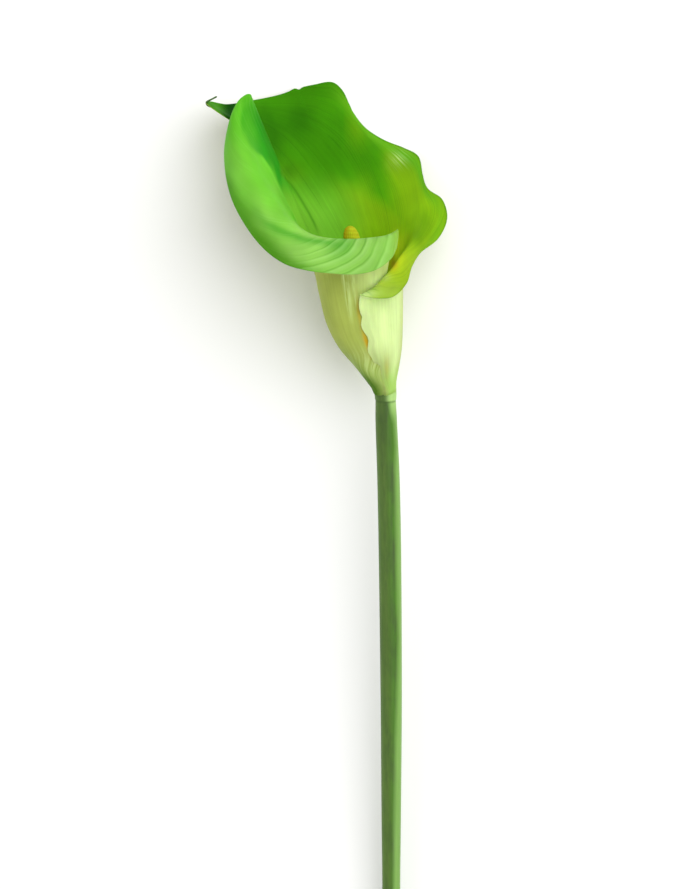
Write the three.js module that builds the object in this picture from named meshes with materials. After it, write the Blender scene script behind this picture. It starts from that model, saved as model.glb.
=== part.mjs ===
// Calla lily flower, cut with its stem and laid down on its back, the open side of the flower up.
// Millimetres, +Z up. The stem points to -Y and the head to +Y.
//
// The head is drawn in a frame of its own: origin at the foot of the flower, +Y from the foot to the
// tip, +Z out of the mouth. Azimuth is counted round the tube from the front (+Z) towards the left (-X).
// Everything is then tilted a little about X, until the back of the limb and the cut end of the stem
// lie on one level surface.

import * as THREE from 'three';
import { ParametricGeometry } from 'three/addons/geometries/ParametricGeometry.js';
import { mergeGeometries, mergeVertices } from 'three/addons/utils/BufferGeometryUtils.js';

// Driving dimensions
const STEM_LENGTH = 320;
const STEM_TOP_RADIUS = 4.6;
const STEM_END_RADIUS = 3.75;
const SEAT_GAP = 0.3;
const SPADIX_LENGTH = 69.4;
const SPADIX_RADIUS = 4;
const SHEET_AT_FOOT = 1.1;
const SHEET_AT_RIM = 0.8;
const OVERLAP_GAP = 1.7;
const TUBE_SHARE = 0.42;
const WAVE_SHARE = 0.035;
const WAVE_POWER = 6;
const MARGIN_SHARE = 0.06;
const MEAN_TAPS = [-1, -0.5, 0, 0.5, 1];
const SHOULDER = 0.6;

// The level surface, in the head's frame: how far below the axis it runs at the two ends
const REST_AT_END = 3.2;
const REST_AT_HEAD = 35.4;
const HEAD_REACH = 126;
const REST_BLEND = 0.5;

// Colours
const SPATHE_GREEN = 0x7fc344;
const SPADIX_YELLOW = 0xcfae2c;
const STEM_GREEN = 0x6f8f42;

// The tube as round sections: height, sideways place of the centre, radius
const TUBE_SECTIONS = [
  [0, -0.4, 4.8],
  [4, -1.9, 6.3],
  [10, -3.7, 9.2],
  [18, -6.5, 13.2],
  [28, -8.9, 16.0],
  [40, -10.4, 17.6],
  [52, -11.7, 19.0],
  [64, -14.2, 22.2],
];

// The limb as ribs, from the left margin of the sheet, round the left and the back, to the right margin.
// Each rib has the azimuth where it leaves the tube, the height there, how far it keeps the tube's slope,
// the shoulder that it passes through and its end on the rim.
const RIBS = [
  // The front flap, rolled out and down over the tube
  [-42, 44, 10, [4.1, 65.6, 21], [4.2, 59.1, 27]],
  [-34, 44, 10, [1.6, 64, 23.5], [1.4, 54.3, 30]],
  [-22, 44, 10, [-3.1, 62.7, 25.7], [-4.5, 49.8, 34]],
  [-6, 44, 10, [-10.1, 62.1, 27.6], [-12.5, 47.9, 36]],
  [12, 44, 10, [-18.5, 62.1, 28.5], [-21.9, 48.2, 36]],
  [30, 45, 11, [-25.5, 62.3, 28.5], [-32.7, 49.5, 35]],
  [46, 46, 12, [-31.1, 63.8, 28], [-42.1, 52.4, 32]],
  // The left lobe, rolled out sideways
  [60, 45, 14, [-38.3, 67.6, 27.8], [-50.8, 59, 27]],
  [72, 45, 16, [-43.3, 74.7, 27], [-58.6, 69.2, 20]],
  [84, 45, 17, [-47.4, 82.4, 24], [-64.4, 80.8, 14]],
  [95, 46, 18, [-51.2, 90.1, 19.5], [-67.1, 93.6, 10]],
  [105, 46, 14, [-54.3, 97.8, 14], [-66.7, 105.7, 7]],
  [115, 46, 10, [-52.6, 104.9, 8.5], [-61.3, 117.3, 6]],
  [124, 47, 10, [-49.1, 105.2, 2.5], [-55.7, 122.2, 6]],
  // The notch beside the lobe and the drawn-out tip
  [133, 47, 10, [-51.1, 101.6, -5], [-60, 116.4, -1]],
  [142, 48, 14, [-50.6, 98.7, -11], [-63.1, 113.2, -7]],
  [150, 48, 18, [-50.7, 97.8, -16.5], [-70.2, 117, -11]],
  [158, 48, 18, [-49.3, 99.3, -20.5], [-76.1, 122.1, -15]],
  [166, 48, 18, [-44.1, 99.5, -23.4], [-67.4, 121.3, -21]],
  // The far wall, upright behind the mouth
  [174, 48, 18, [-37.6, 99, -26.6], [-56.5, 123.5, -29]],
  [182, 48, 18, [-30.8, 98.8, -27.9], [-45.4, 126.1, -33]],
  [191, 48, 18, [-24.7, 98.9, -28.7], [-37.3, 129, -35]],
  [199, 48, 18, [-19.5, 99.3, -28.6], [-30.2, 130.7, -36]],
  [207, 48, 17, [-14.4, 98.8, -28.2], [-22.6, 131.7, -36]],
  [215, 48, 16, [-9.9, 96.2, -27.2], [-17.9, 127.6, -36]],
  [222, 48, 15, [-6.2, 92.1, -26], [-14.3, 119.2, -35]],
  [229, 48, 14, [-2.5, 88.5, -24.5], [-8.7, 111.9, -34]],
  // The right side with its waves
  [237, 48, 13, [1.9, 85, -22.3], [-0.8, 107.1, -34.6]],
  [245, 48, 13, [6.2, 82.3, -19.4], [7.3, 103.6, -33.4]],
  [254, 48, 12, [9.3, 79.1, -15.8], [13.9, 99.7, -28.5]],
  [262, 48, 12, [11.5, 75.8, -12], [15.7, 91.5, -22]],
  [270, 48, 11, [13.1, 72.1, -7.8], [18, 85.2, -16]],
  [279, 48, 11, [13.6, 68.6, -3.9], [23.8, 80.7, -13]],
  [289, 48, 10, [13.2, 64.8, 0.4], [25.7, 72.5, -9]],
  [299, 48, 10, [11.6, 61, 4.7], [21.7, 63.9, -3]],
  // The small lip at the lower right, curled out over the tube, down to the lapped margin
  [308, 47, 9, [8.9, 57.3, 8.7], [14.4, 58.3, 3]],
  [318, 44, 8, [6.1, 53.3, 12.5], [10.5, 51.9, 9]],
  [328, 42, 7, [3.2, 49.1, 16], [8.3, 44.6, 15]],
  [340, 39, 6, [-0.6, 44.8, 18.6], [2.9, 39, 20.5]],
  [353, 36, 5, [-5.7, 41.9, 20.2], [-4.3, 38.2, 23]],
  [365, 34, 4, [-10.8, 39.4, 19.5], [-11, 39.7, 21]],
];

// The stem's own line and thickness: height, sideways place, radius
const STEM_SECTIONS = [
  [-320, 1.9, STEM_END_RADIUS],
  [-209, 2.2, 3.8],
  [-180, 2.2, 4.1],
  [-130, 2.2, 4.5],
  [-71, 1.7, 4.75],
  [-37, 1.05, 4.75],
  [-12, 0.1, 4.55],
  [-4, -0.1, 4.35],
  [0, -0.2, STEM_TOP_RADIUS],
];

// A smooth curve through values that stand at rising places along a line
class Track {
  constructor(places, values) {
    this.places = places;
    this.values = values;
    this.slopes = places.map((place, i) => {
      const before = Math.max(i - 1, 0);
      const after = Math.min(i + 1, places.length - 1);
      return (values[after] - values[before]) / (places[after] - places[before]);
    });
  }

  at(x) {
    const { places, values, slopes } = this;
    let i = 0;
    while (i < places.length - 2 && x >= places[i + 1]) {
      i += 1;
    }
    const step = places[i + 1] - places[i];
    const t = THREE.MathUtils.clamp((x - places[i]) / step, 0, 1);
    const t2 = t * t;
    const t3 = t2 * t;
    const fromStart = (2 * t3 - 3 * t2 + 1) * values[i] + (t3 - 2 * t2 + t) * step * slopes[i];
    const fromEnd = (3 * t2 - 2 * t3) * values[i + 1] + (t3 - t2) * step * slopes[i + 1];
    return fromStart + fromEnd;
  }
}

// Three tracks that give a point
class PointTrack {
  constructor(places, points) {
    this.axes = [0, 1, 2].map((axis) => new Track(places, points.map((point) => point[axis])));
  }

  at(x) {
    return new THREE.Vector3(...this.axes.map((axis) => axis.at(x)));
  }
}

const { smoothstep, degToRad, lerp, clamp } = THREE.MathUtils;

// Ribs are spaced across the sheet as their ends are spaced along the rim
function shareAlongRim() {
  const ends = RIBS.map((rib) => new THREE.Vector3(...rib[4]));
  const walked = [0];
  for (let i = 1; i < ends.length; i += 1) {
    walked.push(walked[i - 1] + ends[i].distanceTo(ends[i - 1]));
  }
  return walked.map((length) => length / walked.at(-1));
}

const ribShares = shareAlongRim();
const azimuthTrack = new Track(ribShares, RIBS.map((rib) => degToRad(rib[0])));
const leaveTrack = new Track(ribShares, RIBS.map((rib) => rib[1]));
const keepTrack = new Track(ribShares, RIBS.map((rib) => rib[2]));
const shoulderTrack = new PointTrack(ribShares, RIBS.map((rib) => rib[3]));
const rimTrack = new PointTrack(ribShares, RIBS.map((rib) => rib[4]));
const tubeCentre = new Track(TUBE_SECTIONS.map((row) => row[0]), TUBE_SECTIONS.map((row) => row[1]));
const tubeRadius = new Track(TUBE_SECTIONS.map((row) => row[0]), TUBE_SECTIONS.map((row) => row[2]));
const stemCentre = new Track(STEM_SECTIONS.map((row) => row[0]), STEM_SECTIONS.map((row) => row[1]));
const stemRadius = new Track(STEM_SECTIONS.map((row) => row[0]), STEM_SECTIONS.map((row) => row[2]));

// The foot of the tube is closed: below these heights the margins only meet, above them they lap
const LAP_STARTS = 6;
const LAP_FULL = 16;
const LAP_TURN = 0.128;
const LAST_AZIMUTH = degToRad(365);
const LAP_INSIDE_TO = degToRad(-5);
const LAP_OUTSIDE_FROM = degToRad(60);

// Where the tube's outer face stands at a height and an azimuth. The left half of the sheet runs inside
// the right half, so its radius is smaller by the overlap gap.
function tubePoint(height, azimuth) {
  const turn = 1 - LAP_TURN * (1 - smoothstep(height, LAP_STARTS, LAP_FULL));
  const around = LAST_AZIMUTH - (LAST_AZIMUTH - azimuth) * turn;
  const inside = 1 - smoothstep(around, LAP_INSIDE_TO, LAP_OUTSIDE_FROM);
  const radius = tubeRadius.at(height) - OVERLAP_GAP * inside * smoothstep(height, 0, LAP_STARTS);
  const x = tubeCentre.at(height) - radius * Math.sin(around);
  return new THREE.Vector3(x, height, radius * Math.cos(around));
}

// How much of the rim one wave takes. It is less at the left lobe, whose fold runs straight up to its peak.
const LOBE_AZIMUTH = degToRad(124);
const LOBE_WIDTH = degToRad(18);
const LOBE_WAVE = 0.2;

function waveShare(share) {
  const off = (azimuthTrack.at(share) - LOBE_AZIMUTH) / LOBE_WIDTH;
  return WAVE_SHARE * lerp(1, LOBE_WAVE, Math.exp(-off * off));
}

// The value of a track, and its mean over the width of one wave of the margin. The mean fades back to the
// value itself at the two margins of the sheet.
function calmed(track, share) {
  const exact = track.at(share);
  const wave = waveShare(share);
  const mean = new THREE.Vector3();
  for (const tap of MEAN_TAPS) {
    mean.addScaledVector(track.at(clamp(share + tap * wave, 0, 1)), 1 / MEAN_TAPS.length);
  }
  const fade = smoothstep(share, 0, MARGIN_SHARE) * smoothstep(1 - share, 0, MARGIN_SHARE);
  return { exact, calm: exact.clone().lerp(mean, fade) };
}

// One rib above the tube, as a cubic curve that passes through its shoulder and ends on the calmed rim
const SLOPE_STEP = 0.5;

function ribCurve(share) {
  const azimuth = azimuthTrack.at(share);
  const leave = leaveTrack.at(share);
  const start = tubePoint(leave, azimuth);
  const slope = tubePoint(leave + SLOPE_STEP, azimuth)
    .sub(tubePoint(leave - SLOPE_STEP, azimuth))
    .normalize();
  const first = start.clone().addScaledVector(slope, keepTrack.at(share));
  const end = calmed(rimTrack, share);
  const rest = 1 - SHOULDER;
  const second = calmed(shoulderTrack, share).calm
    .addScaledVector(start, -(rest ** 3))
    .addScaledVector(first, -3 * rest * rest * SHOULDER)
    .addScaledVector(end.calm, -(SHOULDER ** 3))
    .divideScalar(3 * rest * SHOULDER * SHOULDER);
  const curve = new THREE.CubicBezierCurve3(start, first, second, end.calm);
  return { curve, wave: end.exact.sub(end.calm) };
}

// The surface that the flower lies on
const restSlope = (REST_AT_HEAD - REST_AT_END) / (HEAD_REACH + STEM_LENGTH);
const restNormal = new THREE.Vector3(0, restSlope, 1).normalize();
const restPlane = new THREE.Plane().setFromNormalAndCoplanarPoint(
  restNormal,
  new THREE.Vector3(0, -STEM_LENGTH, -REST_AT_END),
);

// What would sink below that surface is pressed flat on it, with a soft turn at the edge of the flat spot
function pressed(point) {
  const above = restPlane.distanceToPoint(point);
  if (above >= REST_BLEND) return point;
  const kept = above <= -REST_BLEND ? 0 : (above + REST_BLEND) ** 2 / (4 * REST_BLEND);
  return point.addScaledVector(restNormal, kept - above);
}

// The outer face of the sheet: rise 0 is the foot and 1 the rim, share runs across the sheet
const ribCache = new Map();

function outerFace(rise, share) {
  if (!ribCache.has(share)) ribCache.set(share, ribCurve(share));
  if (rise <= TUBE_SHARE) {
    const height = SEAT_GAP + (leaveTrack.at(share) - SEAT_GAP) * rise / TUBE_SHARE;
    return pressed(tubePoint(height, azimuthTrack.at(share)));
  }
  const { curve, wave } = ribCache.get(share);
  const along = (rise - TUBE_SHARE) / (1 - TUBE_SHARE);
  return pressed(curve.getPoint(along).addScaledVector(wave, along ** WAVE_POWER));
}

// The inner face stands off by the sheet's thickness, along the outer face's own normal
const NORMAL_STEP = 0.002;

function innerFace(rise, share) {
  const up = outerFace(Math.min(rise + NORMAL_STEP, 1), share)
    .sub(outerFace(Math.max(rise - NORMAL_STEP, 0), share));
  const across = outerFace(rise, Math.min(share + NORMAL_STEP, 1))
    .sub(outerFace(rise, Math.max(share - NORMAL_STEP, 0)));
  const inward = across.cross(up).normalize();
  if (rise === 0) inward.setY(0).normalize();
  return outerFace(rise, share).addScaledVector(inward, lerp(SHEET_AT_FOOT, SHEET_AT_RIM, rise));
}

// Rows and columns of the sheet
const TUBE_ROWS = 9;
const LIMB_ROWS = 15;
const COLUMNS_PER_RIB = 2;
const ROWS = TUBE_ROWS + LIMB_ROWS;
const COLUMNS = COLUMNS_PER_RIB * (RIBS.length - 1);

function riseOfRow(row) {
  if (row <= TUBE_ROWS) return TUBE_SHARE * row / TUBE_ROWS;
  return lerp(TUBE_SHARE, 1, (row - TUBE_ROWS) / LIMB_ROWS);
}

function shareOfColumn(column) {
  const rib = Math.min(Math.floor(column / COLUMNS_PER_RIB), RIBS.length - 2);
  return lerp(ribShares[rib], ribShares[rib + 1], column / COLUMNS_PER_RIB - rib);
}

// Points closer than this are one point
const MERGE_WITHIN = 1e-4;

// A grid of faces over a function of row and column, turned over where its faces would point inward
function gridFace(rows, columns, place, turnedOver) {
  const surface = (s, t, target) => target.copy(place(Math.round(t * rows), Math.round(s * columns)));
  const geometry = new ParametricGeometry(surface, columns, rows);
  geometry.deleteAttribute('normal');
  geometry.deleteAttribute('uv');
  if (turnedOver) {
    const corners = geometry.index.array;
    for (let i = 0; i < corners.length; i += 3) {
      [corners[i], corners[i + 1]] = [corners[i + 1], corners[i]];
    }
  }
  return geometry;
}

// The spathe: two faces and the four narrow edges between them
function spatheGeometry() {
  const outer = [];
  const inner = [];
  for (let row = 0; row <= ROWS; row += 1) {
    const shares = Array.from({ length: COLUMNS + 1 }, (_, column) => shareOfColumn(column));
    outer.push(shares.map((share) => outerFace(riseOfRow(row), share)));
    inner.push(shares.map((share) => innerFace(riseOfRow(row), share)));
  }
  const side = (s) => (s === 0 ? outer : inner);
  const faces = [
    gridFace(ROWS, COLUMNS, (row, column) => outer[row][column], true),
    gridFace(ROWS, COLUMNS, (row, column) => inner[row][column], false),
    gridFace(1, COLUMNS, (s, column) => side(s)[0][column], false),
    gridFace(1, COLUMNS, (s, column) => side(s)[ROWS][column], true),
    gridFace(ROWS, 1, (row, s) => side(s)[row][0], false),
    gridFace(ROWS, 1, (row, s) => side(s)[row][COLUMNS], true),
  ];
  return mergeVertices(mergeGeometries(faces), MERGE_WITHIN);
}

// A round body along Y: a lathe whose points are then moved to the body's own line and relief
function latheAlong(profile, sides, move) {
  const geometry = new THREE.LatheGeometry(profile, sides);
  geometry.deleteAttribute('normal');
  geometry.deleteAttribute('uv');
  const spots = geometry.attributes.position;
  const point = new THREE.Vector3();
  for (let i = 0; i < spots.count; i += 1) {
    point.fromBufferAttribute(spots, i);
    move(point);
    spots.setXYZ(i, point.x, point.y, point.z);
  }
  return mergeVertices(geometry, MERGE_WITHIN);
}

// The spadix: a finger with a narrow foot and a round tip, covered with florets in crossing spirals
const SPADIX_SIDES = 28;
const SPADIX_ROWS = 46;
const ROWS_TOWARDS_TIP = 0.09;
const FOOT_NARROWING = 0.72;
const FOOT_HEIGHT = 16;
const TAPER_FROM = 30;
const TAPER_TO = 0.9;
const TIP_HEIGHT = 7;
const TIP_POWER = 2.4;
const FLORETS_AROUND = 7;
const FLORET_RISE = 3.4;
const FLORET_RELIEF = 0.28;
const FLORETS_FROM = 3;
const FLORETS_FULL = 8;
const FLORETS_FADE_RADIUS = 2;

// It follows the tube's own line, then leans over to the left
const LEAN_FROM = 38;
const LEAN_TO = 72.6;
const LEAN = 4.7;
const FOLLOWS_TUBE_TO = 40;

function spadixCentre(height) {
  return tubeCentre.at(Math.min(height, FOLLOWS_TUBE_TO)) - LEAN * smoothstep(height, LEAN_FROM, LEAN_TO);
}

function spadixRadius(height) {
  const body = SPADIX_RADIUS * lerp(FOOT_NARROWING, 1, smoothstep(height, 0, FOOT_HEIGHT));
  const drawnIn = body * lerp(1, TAPER_TO, smoothstep(height, TAPER_FROM, SPADIX_LENGTH));
  const intoTip = clamp((height - (SPADIX_LENGTH - TIP_HEIGHT)) / TIP_HEIGHT, 0, 1);
  return drawnIn * Math.sqrt(1 - intoTip ** TIP_POWER);
}

// How far the florets stand out: bumps where two sets of spirals cross
function floretRelief(radius, height, around) {
  const rise = height / FLORET_RISE * Math.PI;
  const bumps = Math.cos(FLORETS_AROUND * around + rise) * Math.cos(FLORETS_AROUND * around - rise);
  const shown = smoothstep(height, FLORETS_FROM, FLORETS_FULL) * Math.min(radius / FLORETS_FADE_RADIUS, 1);
  return FLORET_RELIEF * bumps * shown;
}

function spadixGeometry() {
  const profile = [new THREE.Vector2(0, SEAT_GAP)];
  for (let row = 0; row <= SPADIX_ROWS; row += 1) {
    const share = row / SPADIX_ROWS;
    const crowded = share + ROWS_TOWARDS_TIP * Math.sin(Math.PI * share) * share;
    const height = lerp(SEAT_GAP, SPADIX_LENGTH, crowded);
    profile.push(new THREE.Vector2(row === SPADIX_ROWS ? 0 : spadixRadius(height), height));
  }
  return latheAlong(profile, SPADIX_SIDES, (point) => {
    const radius = Math.hypot(point.x, point.z);
    const around = Math.atan2(point.x, point.z);
    const grown = radius > 0 ? 1 + floretRelief(radius, point.y, around) / radius : 1;
    point.x = point.x * grown + spadixCentre(point.y);
    point.z *= grown;
  });
}

// The stem: a lathe along its own line, with a small bevel at the cut end
const STEM_SIDES = 20;
const STEM_ROWS = 26;
const STEM_BEVEL = 0.5;
const ROWS_TOWARDS_END = 1.5;

function stemGeometry() {
  const profile = [
    new THREE.Vector2(0, -STEM_LENGTH),
    new THREE.Vector2(STEM_END_RADIUS - STEM_BEVEL, -STEM_LENGTH),
  ];
  for (let row = 0; row <= STEM_ROWS; row += 1) {
    const share = 1 - (1 - row / STEM_ROWS) ** ROWS_TOWARDS_END;
    const height = lerp(STEM_BEVEL - STEM_LENGTH, 0, share);
    profile.push(new THREE.Vector2(stemRadius.at(height), height));
  }
  profile.push(new THREE.Vector2(0, 0));
  return latheAlong(profile, STEM_SIDES, (point) => {
    point.x += stemCentre.at(point.y);
    pressed(point);
  });
}

function piece(name, geometry, colour, roughness) {
  const material = new THREE.MeshStandardMaterial({ color: colour, roughness, metalness: 0 });
  const mesh = new THREE.Mesh(geometry, material);
  mesh.name = name;
  return mesh;
}

// The flower in its own frame, tilted until the rest surface is level
const head = new THREE.Group();
head.add(piece('stem', stemGeometry(), STEM_GREEN, 0.55));
head.add(piece('spadix', spadixGeometry(), SPADIX_YELLOW, 0.75));
head.add(piece('spathe', spatheGeometry(), SPATHE_GREEN, 0.4));
head.rotation.x = Math.atan(restSlope);

// The origin lies under the middle of the flower, on the surface that it rests on
const flower = new THREE.Group();
flower.add(head);
flower.updateMatrixWorld(true);
const box = new THREE.Box3().setFromObject(flower, true);
const middle = box.getCenter(new THREE.Vector3());
head.position.set(-middle.x, -middle.y, -box.min.z);
flower.updateMatrixWorld(true);

export default flower;
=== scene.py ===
"""A cut calla lily laid on its back: spathe, spadix and stem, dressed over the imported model.

Every shape is worked out in the head's own frame, in millimetres: origin at the foot of the spathe, +Y from
the foot to the tip, +Z out of the mouth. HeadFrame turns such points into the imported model's frame, in
metres. Azimuth is counted round the tube from the front (+Z) towards the left (-X).
"""
import logging
import math
from dataclasses import dataclass, field
from enum import Enum

import bpy
import numpy as np
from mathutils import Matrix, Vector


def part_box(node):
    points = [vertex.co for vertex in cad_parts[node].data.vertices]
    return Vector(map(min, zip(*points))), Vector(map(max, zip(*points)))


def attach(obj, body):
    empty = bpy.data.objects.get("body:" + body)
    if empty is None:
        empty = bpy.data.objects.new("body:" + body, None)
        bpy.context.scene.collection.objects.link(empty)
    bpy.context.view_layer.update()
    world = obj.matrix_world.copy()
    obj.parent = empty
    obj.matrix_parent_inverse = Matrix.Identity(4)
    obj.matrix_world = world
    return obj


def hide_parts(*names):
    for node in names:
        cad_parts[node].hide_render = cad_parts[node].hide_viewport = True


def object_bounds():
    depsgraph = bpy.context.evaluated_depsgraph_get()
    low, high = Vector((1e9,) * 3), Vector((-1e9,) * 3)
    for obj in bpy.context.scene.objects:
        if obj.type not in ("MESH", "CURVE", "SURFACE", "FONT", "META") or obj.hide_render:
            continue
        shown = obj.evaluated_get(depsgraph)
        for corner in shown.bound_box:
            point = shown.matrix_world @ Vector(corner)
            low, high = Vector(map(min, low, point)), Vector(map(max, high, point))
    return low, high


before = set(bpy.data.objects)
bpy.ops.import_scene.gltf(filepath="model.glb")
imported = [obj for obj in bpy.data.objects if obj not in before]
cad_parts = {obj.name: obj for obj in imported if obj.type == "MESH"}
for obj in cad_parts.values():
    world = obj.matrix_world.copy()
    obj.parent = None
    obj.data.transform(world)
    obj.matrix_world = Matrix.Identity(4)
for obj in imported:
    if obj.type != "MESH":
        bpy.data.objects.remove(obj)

CAD_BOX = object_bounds()
LOG = logging.getLogger("calla_lily")
MM = 0.001
Array = np.ndarray


# Helpers


def smooth(low: float, high: float, x: Array) -> Array:
    """A soft step from 0 at low to 1 at high: 3t^2 - 2t^3.

    Args:
        low: where the step begins.
        high: where the step ends.
        x: the values to turn into shares.

    Returns:
        The share of the step at each value.
    """
    t = np.clip((np.asarray(x, float) - low) / (high - low), 0.0, 1.0)
    return t * t * (3 - 2 * t)


def bell(x: Array, centre: float, width: float) -> Array:
    """A round bump of height 1 at centre: e^-(x/width)^2."""
    return np.exp(-(((np.asarray(x, float) - centre) / width) ** 2))


def lerp(a: Array, b: Array, t: Array) -> Array:
    """The value a share t of the way from a to b."""
    return a + (b - a) * t


def unit(v: Array) -> Array:
    """Vectors of length 1 in the same directions."""
    return v / np.maximum(np.linalg.norm(v, axis=-1, keepdims=True), 1e-12)


def linear(hex_colour: str) -> tuple[float, float, float, float]:
    """Turns an sRGB hex colour into the linear colour that a shader takes.

    Args:
        hex_colour: six hex digits, such as "7fc344".

    Returns:
        Linear red, green, blue and an alpha of 1.
    """
    channels = [int(hex_colour[i : i + 2], 16) / 255 for i in (0, 2, 4)]
    light = [c / 12.92 if c <= 0.04045 else ((c + 0.055) / 1.055) ** 2.4 for c in channels]
    return (*light, 1.0)


@dataclass(frozen=True)
class Track:
    """A smooth curve through values that stand at rising places along a line."""

    places: Array
    values: Array

    def at(self, x: Array) -> Array:
        """The value at x, by a cubic whose slope at each place is the slope between its two neighbours.

        Args:
            x: places along the line, of any shape.

        Returns:
            The values there, with one more axis where the values are points.
        """
        places = self.places
        values = self.values if self.values.ndim > 1 else self.values[:, None]
        last = len(places) - 1
        before = np.maximum(np.arange(last + 1) - 1, 0)
        after = np.minimum(np.arange(last + 1) + 1, last)
        slopes = (values[after] - values[before]) / (places[after] - places[before])[:, None]
        i = np.clip(np.searchsorted(places, x, side="right") - 1, 0, last - 1)
        step = (places[i + 1] - places[i])[..., None]
        t = np.clip((np.asarray(x, float) - places[i])[..., None] / step, 0, 1)
        t2, t3 = t * t, t * t * t
        found = (
            (2 * t3 - 3 * t2 + 1) * values[i]
            + (t3 - 2 * t2 + t) * step * slopes[i]
            + (3 * t2 - 2 * t3) * values[i + 1]
            + (t3 - t2) * step * slopes[i + 1]
        )
        return found if self.values.ndim > 1 else found[..., 0]


@dataclass(frozen=True)
class HeadFrame:
    """Where the head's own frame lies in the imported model's frame."""

    end_depth: float = 3.2  # how far below the stem's axis the rest surface lies at the cut end
    head_depth: float = 35.4  # and at the top of the head
    head_reach: float = 126.0
    stem_length: float = 320.0
    stem_left: float = 4.8  # how far left of the origin the stem's top reaches
    end_top: float = 3.25  # how far above the axis the cut face reaches

    @property
    def slope(self) -> float:
        """The rest surface's slope in the head's frame."""
        return (self.head_depth - self.end_depth) / (self.head_reach + self.stem_length)

    @property
    def tilt(self) -> float:
        """The turn about X that makes the rest surface level, in radians."""
        return math.atan(self.slope)

    def origin(self) -> Array:
        """The head frame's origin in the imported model's frame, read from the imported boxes.

        Returns:
            The place, in millimetres.
        """
        sin, cos = math.sin(self.tilt), math.cos(self.tilt)
        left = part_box("stem")[0].x / MM + self.stem_left
        back = CAD_BOX[0].y / MM + self.stem_length * cos + self.end_top * sin
        return np.array([left, back, self.stem_length * sin + self.end_depth * cos])

    def to_row(self, points: Array) -> Array:
        """Turns points about X by the tilt and carries them to the origin.

        Args:
            points: points in the head's frame, in millimetres.

        Returns:
            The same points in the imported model's frame, in metres.
        """
        sin, cos = math.sin(self.tilt), math.cos(self.tilt)
        x, y, z = points[..., 0], points[..., 1], points[..., 2]
        turned = np.stack([x, y * cos - z * sin, y * sin + z * cos], -1)
        return (turned + self.origin()) * MM

    def press(self, points: Array, blend: float = 0.5) -> Array:
        """Presses what would sink below the rest surface flat on it, with a soft turn at the flat's edge.

        Args:
            points: points in the head's frame.
            blend: over how many millimetres the surface turns.

        Returns:
            The points, none of them below the rest surface.
        """
        normal = unit(np.array([0.0, self.slope, 1.0]))
        above = (points - np.array([0.0, -self.stem_length, -self.end_depth])) @ normal
        kept = np.where(above <= -blend, 0.0, (above + blend) ** 2 / (4 * blend))
        kept = np.where(above >= blend, above, kept)
        return points + (kept - above)[..., None] * normal


def grid_faces(rows: int, columns: int, first: int, flip: bool) -> Array:
    """Quads over a grid of points that are numbered row by row.

    Args:
        rows: how many rows of points.
        columns: how many points in a row.
        first: the number of the grid's first point.
        flip: True where the faces turn the other way round.

    Returns:
        The four point numbers of each face.
    """
    r, c = np.meshgrid(np.arange(rows - 1), np.arange(columns - 1), indexing="ij")
    a = first + r * columns + c
    quads = np.stack([a, a + 1, a + columns + 1, a + columns], -1).reshape(-1, 4)
    return quads[:, ::-1] if flip else quads


def tube_faces(rows: int, sides: int, flip: bool = False) -> Array:
    """Quads between closed rings of points, and beyond each end ring a fan of triangles to one middle point.

    Args:
        rows: how many rings.
        sides: how many points in a ring.
        flip: True where the faces turn the other way round.

    Returns:
        The four point numbers of each face. The two middle points are numbered after the rings.
    """
    ring = np.arange(rows * sides).reshape(rows, sides)
    after = np.roll(ring, -1, axis=1)
    low, high = np.full(sides, ring.size), np.full(sides, ring.size + 1)
    quads = np.stack([ring[:-1], after[:-1], after[1:], ring[1:]], -1).reshape(-1, 4)
    first = np.stack([after[0], ring[0], low, low], -1)
    last = np.stack([ring[-1], after[-1], high, high], -1)
    faces = np.concatenate([quads, first, last])
    return np.roll(faces[:, ::-1], 1, axis=1) if flip else faces


def make_piece(
    name: str, points: Array, faces: Array, marks: dict[str, Array], node: str
) -> bpy.types.Object:
    """Makes a smooth mesh object from arrays and gives it its place in the frame.

    Args:
        name: the piece's name.
        points: its points in metres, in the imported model's frame.
        faces: its faces, four point numbers each; a repeated number makes a triangle.
        marks: named values, one for each point, which the material reads.
        node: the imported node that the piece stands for, or "" where it stands for none.

    Returns:
        The new object.
    """
    mesh = bpy.data.meshes.new(name)
    corners = [tuple(dict.fromkeys(face)) for face in faces.tolist()]
    mesh.from_pydata(points.tolist(), [], corners)
    for mark, values in marks.items():
        layer = mesh.attributes.new(mark, "FLOAT", "POINT")
        layer.data.foreach_set("value", np.ascontiguousarray(values, np.float32))
    mesh.shade_smooth()
    mesh.update()
    piece = bpy.data.objects.new(name, mesh)
    bpy.context.scene.collection.objects.link(piece)
    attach(piece, "root")
    if node:
        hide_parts(node)
    return piece


def blank_material(name: str) -> bpy.types.Material:
    """Adds a material with an empty node tree.

    Args:
        name: the material's name.

    Returns:
        The new material.
    """
    material = bpy.data.materials.new(name)
    material.use_nodes = True
    material.node_tree.nodes.clear()
    return material


def add_node(
    tree: bpy.types.NodeTree, kind: str, links: dict | None = None, **settings: object
) -> bpy.types.Node:
    """Adds one node, sets it up and links it.

    Args:
        tree: the material's node tree.
        kind: the node's type name without its ShaderNode start.
        links: for each input, by name or number, the value it takes, the output that feeds it, or a
            node whose first output in use feeds it.
        settings: the node's own properties.

    Returns:
        The new node.
    """
    node = tree.nodes.new("ShaderNode" + kind)
    for key, value in settings.items():
        setattr(node, key, value)
    for key, value in (links or {}).items():
        if isinstance(value, bpy.types.Node):
            value = next(output for output in value.outputs if output.enabled)
        if isinstance(value, bpy.types.NodeSocket):
            tree.links.new(value, node.inputs[key])
        else:
            node.inputs[key].default_value = value
    return node


# Spathe


class Face(Enum):
    """The two faces of the spathe's sheet."""

    OUTER = 0.0
    INNER = 1.0


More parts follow.
